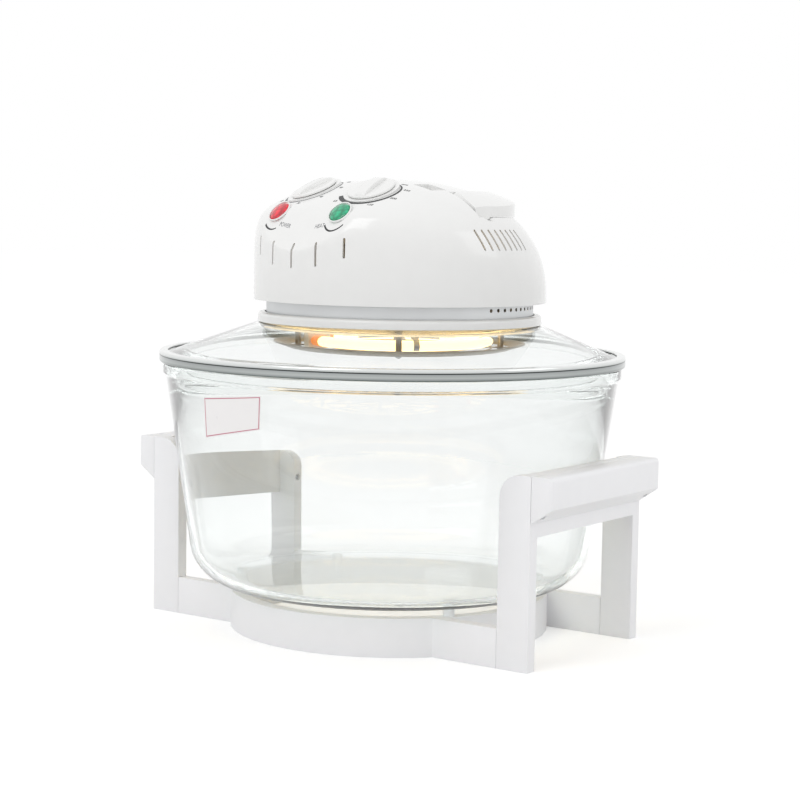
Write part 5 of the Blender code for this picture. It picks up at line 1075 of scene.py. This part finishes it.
class OVEN_OT_lamp(bpy.types.Operator):
    """Build the halogen ring lamp under its bright pan, with its holders and clips"""

    bl_idname = "oven.lamp"
    bl_label = "Halogen lamp"

    def execute(self, context):
        """Spin the pan and bend the tube."""
        tube = at(bent_rod(LAMP_RADIUS, LAMP_CIRCLE, LAMP_START, LAMP_SWEEP, ROUND_STEPS), 0, 0, LAMP_Z)
        show("ring_tube", tube, "glowing_fused_quartz", "lid", ["halogen_lamp"], True)
        ends = [at(bent_rod(LAMP_RADIUS + GAP, LAMP_CIRCLE, start, LAMP_PINCH, 8), 0, 0, LAMP_Z)
                for start in (LAMP_START, LAMP_START + LAMP_SWEEP - LAMP_PINCH)]
        show("tube_ends", joined(*ends), "hot_quartz_pinch", "lid", (), True)
        inner = PAN_RADIUS - PAN_SHEET
        rim = PAN_TOP - PAN_DEPTH
        bend = PAN_SHEET
        outline = [(PAN_BORE, PAN_LOW), (inner - bend, PAN_LOW)]
        outline += arc(inner - bend, PAN_LOW - bend, bend, pi / 2, 0, 4)[1:]
        outline += [(inner, rim), (PAN_RADIUS, rim)]
        outline += arc(PAN_RADIUS - 2 * bend, PAN_TOP - 2 * bend, 2 * bend, 0, pi / 2, 6)
        outline.append((PAN_BORE, PAN_TOP))
        bores = [rod(GUARD_STUD_RADIUS + GAP, PAN_LOW - OVERRUN, PAN_TOP + OVERRUN, SMALL_STEPS, spot)
                 for spot in around(GUARD_POST_CIRCLE, SCREW_ANGLE)]
        # The pan's aluminium has a painted amber glow
        show("reflector_pan", cut(spun(outline), joined(*bores)), "aluminium_painted_lamp_glow", "lid", ["reflector"],
             True)
        holders = joined(copied("lamp_holder_1", FINE_EDGE), copied("lamp_holder_2", FINE_EDGE))
        show("holder_blocks", holders, "unglazed_steatite", "lid", ["lamp_holder_1", "lamp_holder_2"])
        clips = [f"lamp_clip_{index}" for index in (1, 2, 3)]
        show("spring_clips", joined(*[copied(clip) for clip in clips]), "zinc_plated_steel", "lid", clips)
        return {"FINISHED"}


class OVEN_OT_guard(bpy.types.Operator):
    """Build the guard under the lamp: a sloping rim, wire rings, spokes, posts and nuts"""

    bl_idname = "oven.guard"
    bl_label = "Lamp guard"

    def execute(self, context):
        """Spin the rim, and lay the wires on its level."""
        high = GUARD_LOW + GUARD_RIM_RISE
        rim = [(GUARD_FLAT_RADIUS, GUARD_LOW), (GUARD_RADIUS, high), (GUARD_RADIUS, high + GUARD_SHEET),
               (GUARD_FLAT_RADIUS, GUARD_TOP)]
        wire = GUARD_SHEET / 2
        lift = Matrix.Translation((0, 0, GUARD_LOW + wire))
        pieces = [eased(spun(rim), GAP)]
        for index in range(GUARD_WIRES):
            share = index / (GUARD_WIRES - 1)
            circle = GUARD_INNER_RADIUS + (GUARD_FLAT_RADIUS - GUARD_INNER_RADIUS) * share
            pieces.append(moved(bent_rod(wire, circle, 0, TURN, WIRE_STEPS, WIRE_SIDES), lift))
        for index in range(GUARD_BARS):
            bar = across(wire, GUARD_INNER_RADIUS, GUARD_FLAT_RADIUS + GUARD_SHEET, 0, 0, WIRE_SIDES)
            turn = Matrix.Rotation(TURN * index / GUARD_BARS - pi / 2, 4, "Z")
            pieces.append(moved(bar, lift @ turn))
        spots = around(GUARD_POST_CIRCLE, SCREW_ANGLE)
        for spot in spots:
            tab = ring(GUARD_STUD_RADIUS + GAP, GUARD_TAB / 2, GUARD_LOW, GUARD_TOP, SMALL_STEPS)
            pieces.append(at(tab, *spot))
        # The guard's brownish grey is a painted warm reflection
        show("guard_grille", joined(*pieces), "chrome_painted_warm_reflection", "lid", ["lamp_guard"], True)
        end = DECK_LOW - 2 * GAP
        start = POST_LOW - GUARD_STUD_LENGTH
        outline = [(0, start), (GUARD_STUD_RADIUS, start), (GUARD_STUD_RADIUS, POST_LOW),
                   (GUARD_POST_RADIUS, POST_LOW), (GUARD_POST_RADIUS, PAN_LOW - GAP),
                   (GUARD_STUD_RADIUS, PAN_LOW - GAP), (GUARD_STUD_RADIUS, end), (0, end)]
        posts = [at(spun(outline, SMALL_STEPS), *spot) for spot in spots]
        show("guard_stays", joined(*posts), "chrome_painted_warm_reflection", "lid",
             [f"guard_post_{index}" for index in (1, 2, 3, 4)], True)
        hexagon = arc(0, 0, GUARD_NUT_RADIUS, 0, TURN, 6)[:-1]
        nuts = []
        for spot in spots:
            nut = eased(prism(hexagon, GUARD_LOW - GAP - GUARD_NUT_HEIGHT, GUARD_LOW - GAP), GAP)
            nut = cut(nut, rod(GUARD_STUD_RADIUS + GAP / 3, GUARD_LOW - OVERRUN, GUARD_LOW, SMALL_STEPS))
            nuts.append(at(nut, *spot))
        show("guard_nuts", joined(*nuts), "zinc_plated_steel", "lid", (), True)
        return {"FINISHED"}


class OVEN_OT_works(bpy.types.Operator):
    """Dress the fans, the motor and the wiring parts inside the head"""

    bl_idname = "oven.works"
    bl_label = "Motor, fans and wiring parts"

    def execute(self, context):
        """Copy each CAD part with rounded edges and its own finish."""
        rows = (
            ("hot_air_fan", "pressed_aluminium_sheet", "fan", "convection_fan"),
            ("cooling_wheel", "pressed_aluminium_sheet", "fan", "cooling_fan"),
            ("shaft_nut", "zinc_plated_steel", "fan", "fan_nut"),
            ("fan_shaft", "chromed_steel_wire", "fan", "motor_shaft"),
            ("motor_feet", "zinc_plated_steel", "lid", "motor_bracket"),
            ("core_stack", "laminated_silicon_steel", "lid", "motor_core"),
            ("coil_winding", "wound_polyester_tape", "lid", "motor_coil"),
            ("wire_block", "unglazed_steatite", "lid", "terminal_block"),
            ("bimetal_cutout", "glass_filled_nylon", "lid", "thermal_cutout"),
            ("interlock_switch", "glass_filled_nylon", "lid", "safety_switch"),
            ("interlock_plunger", "glass_filled_nylon", "plunger", "switch_plunger"),
            ("cord_bush", "glass_filled_nylon", "lid", "cord_gland"),
        )
        for name, finish, body, node in rows:
            show(name, copied(node, GAP), finish, body, [node])
        return {"FINISHED"}


class OVEN_OT_stand(bpy.types.Operator):
    """Dress the moulded stand, its side frames and grips"""

    bl_idname = "oven.stand"
    bl_label = "Stand"

    def execute(self, context):
        """Copy each moulding with rounded edges."""
        for name, node in (("stand_hoop", "stand_base"), ("left_frame", "side_frame_left"),
                           ("right_frame", "side_frame_right"), ("left_grip", "side_grip_left"),
                           ("right_grip", "side_grip_right")):
            show(name, copied(node, MOULD_EDGE, 3), "satin_moulded_abs", "stand", [node])
        return {"FINISHED"}


def screw(radius, head_radius, head_height, length):
    """Return a screw that points up from the origin, with a domed cross-head below."""
    outline = [(0, -head_height)] + [(head_radius * x, head_height * z) for x, z in
                                     arc(0, 0, 1, -pi / 2, 0, 5)[1:]]
    outline += [(radius, 0), (radius, length - radius), (0, length)]
    wing = (head_radius * CROSS_SPAN_SHARE, head_radius * CROSS_WIDTH_SHARE)
    cross = [box((-x, -y, -head_height - OVERRUN), (x, y, -head_height * CROSS_FLOOR_SHARE))
             for x, y in (wing, wing[::-1])]
    return cut(spun(outline, SMALL_STEPS), fused(*cross))


class OVEN_OT_screws(bpy.types.Operator):
    """Build the screws of the stand and of the head"""

    bl_idname = "oven.screws"
    bl_label = "Screws"

    def execute(self, context):
        """Set each screw where its CAD node is."""
        for group, body in (("grip_screw", "stand"), ("foot_screw", "stand"), ("cover_screw", "lid")):
            nodes = [f"{group}_{index}" for index in (1, 2, 3, 4)]
            made = []
            for node in nodes:
                low, high = (Vector(corner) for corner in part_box(node))
                size = high - low
                along = max(range(3), key=lambda axis: size[axis])
                sign = 1 if along == 2 or low[along] > 0 else -1
                middle = (low + high) / 2
                middle[along] = (low if sign > 0 else high)[along] + sign * SCREW_HEAD_HEIGHT
                direction = Vector((0, 0, 0))
                direction[along] = sign
                thread = SCREW_RADIUS if group == "cover_screw" else STAND_SCREW_RADIUS
                shape = screw(thread, min(size) / 2, SCREW_HEAD_HEIGHT, size[along] - SCREW_HEAD_HEIGHT)
                made.append(at(moved(shape, facing(direction)), *middle))
            show(group + "s", joined(*made), "zinc_plated_steel", body, nodes)
        return {"FINISHED"}


def tapered_mark(radius, start, sweep, wide, narrow):
    """Return a flat printed arc about the origin that narrows along its sweep."""
    shape = bmesh.new()
    ends = [shape.verts.new((radius + side * wide / 2, 0, 0)) for side in (-1, 1)]
    edge = shape.edges.new(ends)
    bmesh.ops.spin(shape, geom=ends + [edge], cent=(0, 0, 0), axis=(0, 0, 1), dvec=(0, 0, 0), angle=sweep,
                   steps=PART_STEPS, use_merge=False, use_duplicate=False)
    for point in shape.verts:
        share = (atan2(point.co.y, point.co.x) % TURN) / sweep
        width = point.co.xy.length - radius
        point.co *= (radius + width * (1 + (narrow / wide - 1) * min(share, 1))) / point.co.length
    return moved(shape, Matrix.Rotation(start, 4, "Z"))


def lettering(text):
    """Return flat lettering centred on the origin."""
    words = bpy.data.curves.new("lettering", "FONT")
    words.body = text
    words.size = LETTER_HEIGHT
    words.align_x = "CENTER"
    words.align_y = "CENTER"
    item = bpy.data.objects.new("lettering", words)
    bpy.context.scene.collection.objects.link(item)
    mesh = bpy.data.meshes.new_from_object(item.evaluated_get(bpy.context.evaluated_depsgraph_get()))
    shape = bmesh.new()
    shape.from_mesh(mesh)
    bpy.data.objects.remove(item)
    bpy.data.curves.remove(words)
    bpy.data.meshes.remove(mesh)
    return shape


def printed(shape, place):
    """Drop a flat mark on the cover's outer face and give the ink its thickness."""
    moved(shape, place)
    for point in shape.verts:
        point.co.z = dome_top(point.co.x, point.co.y) + INK / 4
    return thickened(shape, (0, 0, INK))


class OVEN_OT_marks(bpy.types.Operator):
    """Print the dial arcs, their numbers and the arcs under the signal lamps"""

    bl_idname = "oven.marks"
    bl_label = "Printed marks"

    def execute(self, context):
        """Lay every mark on the cover."""
        wide = context.scene.oven_sizes.dial_mark
        for side, name, finish, share, numbers in DIALS:
            place = dial_frame(side)
            marks = [tapered_mark(DIAL_ARC_RADIUS, DIAL_ARC_START, DIAL_ARC_SWEEP, wide * share,
                                  DIAL_ARC_TIP * share)]
            for index, number in enumerate(numbers):
                angle = DIAL_ARC_START + DIAL_ARC_SWEEP * (index + 0.5) / len(numbers)
                spot = (DIAL_NUMBER_RADIUS * cos(angle), DIAL_NUMBER_RADIUS * sin(angle))
                marks.append(at(lettering(number), *spot))
            show(name, joined(*[printed(mark, place) for mark in marks]), finish, "lid", (), True)
        arcs, words = [], []
        for side, word, start, sweep in SIGNAL_PRINTS:
            place = lamp_frame(side)
            arcs.append(printed(tapered_mark(SMILE_RADIUS, start, sweep, SMILE_WIDTH, SMILE_TIP), place))
            words.append(printed(at(lettering(word), -side * WORD_X, -WORD_Y), place))
        show("lamp_arcs", joined(*arcs), "black_screen_ink", "lid", (), True)
        show("lamp_words", joined(*words), "grey_screen_ink", "lid", (), True)
        return {"FINISHED"}


def seen_by(tree):
    """Return a socket that is 1 for rays from the camera, also by way of a mirror or glass."""
    rays = add_node(tree, "ShaderNodeLightPath")
    first = add_node(tree, "ShaderNodeMath", {
        0: rays.outputs["Is Camera Ray"], 1: rays.outputs["Is Glossy Ray"]})
    return add_node(tree, "ShaderNodeMath", {
        0: first.outputs["Value"], 1: rays.outputs["Is Transmission Ray"]}, use_clamp=True).outputs["Value"]


class OVEN_OT_stage(bpy.types.Operator):
    """Set the pale floor, the soft lights and the camera"""

    bl_idname = "oven.stage"
    bl_label = "Floor, light and camera"

    def execute(self, context):
        """Build the stage round the finished oven."""
        scene = context.scene
        shape = bmesh.new()
        bmesh.ops.create_grid(shape, x_segments=4, y_segments=4, size=FLOOR_REACH)
        mesh = bpy.data.meshes.new("studio_floor")
        shape.to_mesh(mesh)
        shape.free()
        floor = bpy.data.objects.new("studio_floor", mesh)
        scene.collection.objects.link(floor)
        paint = bpy.data.materials.new("white_studio_floor")
        paint.use_nodes = True
        tree = paint.node_tree
        tree.nodes.remove(tree.nodes["Principled BSDF"])
        matt = add_node(tree, "ShaderNodeBsdfDiffuse", {"Color": FLOOR_PAINT})
        lift = add_node(tree, "ShaderNodeMath", {0: seen_by(tree), 1: FLOOR_LIFT}, operation="MULTIPLY")
        glow = add_node(tree, "ShaderNodeEmission", {"Strength": lift.outputs["Value"]})
        both = add_node(tree, "ShaderNodeAddShader", {0: matt.outputs["BSDF"], 1: glow.outputs["Emission"]})
        tree.links.new(both.outputs["Shader"], tree.nodes["Material Output"].inputs["Surface"])
        mesh.materials.append(paint)

        world = bpy.data.worlds.new("studio")
        world.use_nodes = True
        tree = world.node_tree
        level = add_node(tree, "ShaderNodeMapRange", {
            "Value": seen_by(tree), "To Min": WORLD_LIGHT, "To Max": 1.0})
        tree.links.new(level.outputs["Result"], tree.nodes["Background"].inputs["Strength"])
        tree.nodes["Background"].inputs["Color"].default_value = (1, 1, 1, 1)
        scene.world = world

        for name, spot, size, power in SOFT_LAMPS:
            light = bpy.data.lights.new(name, "AREA")
            light.shape = "SQUARE"
            light.size = size
            light.energy = power
            lamp = bpy.data.objects.new(name, light)
            scene.collection.objects.link(lamp)
            aim = Vector(LAMP_TARGET) - Vector(spot)
            lamp.matrix_world = Matrix.Translation(spot) @ facing(-aim)

        lens = bpy.data.cameras.new("photo_view")
        lens.lens = CAMERA_LENS
        lens.sensor_width = CAMERA_SENSOR
        camera = bpy.data.objects.new("photo_view", lens)
        scene.collection.objects.link(camera)
        turn = Matrix.Rotation(CAMERA_HEADING, 4, "Z") @ Matrix.Rotation(pi / 2 - CAMERA_DIP, 4, "X")
        camera.matrix_world = Matrix.Translation(CAMERA_SPOT) @ turn @ Matrix.Rotation(CAMERA_ROLL, 4, "Z")
        scene.camera = camera
        scene.view_settings.view_transform = "Standard"
        return {"FINISHED"}


STEPS = (OVEN_OT_finishes, OVEN_OT_stand, OVEN_OT_bowl, OVEN_OT_lid, OVEN_OT_base, OVEN_OT_cover,
         OVEN_OT_controls, OVEN_OT_signals, OVEN_OT_handle, OVEN_OT_lamp, OVEN_OT_guard, OVEN_OT_works,
         OVEN_OT_screws, OVEN_OT_marks, OVEN_OT_stage)


class OVEN_PT_steps(bpy.types.Panel):
    """Lists every step of the build"""

    bl_idname = "OVEN_PT_steps"
    bl_label = "Halogen Oven"
    bl_space_type = "VIEW_3D"
    bl_region_type = "UI"
    bl_category = "Halogen Oven"

    def draw(self, context):
        """Draw the settings and a button for each step."""
        for group in (context.scene.oven_colours, context.scene.oven_sizes):
            for key in type(group).__annotations__:
                self.layout.prop(group, key)
        for step in STEPS:
            self.layout.operator(step.bl_idname)


CLASSES = (OvenColours, OvenSizes, *STEPS, OVEN_PT_steps)


def register():
    """Register the classes and the settings."""
    for item in CLASSES:
        bpy.utils.register_class(item)
    bpy.types.Scene.oven_colours = PointerProperty(type=OvenColours)
    bpy.types.Scene.oven_sizes = PointerProperty(type=OvenSizes)


def unregister():
    """Remove the settings and the classes."""
    del bpy.types.Scene.oven_sizes
    del bpy.types.Scene.oven_colours
    for item in reversed(CLASSES):
        bpy.utils.unregister_class(item)


def main():
    """Build the oven step by step."""
    register()
    for step in STEPS:
        group, name = step.bl_idname.split(".")
        getattr(getattr(bpy.ops, group), name)()


if __name__ == "__main__":
    main()
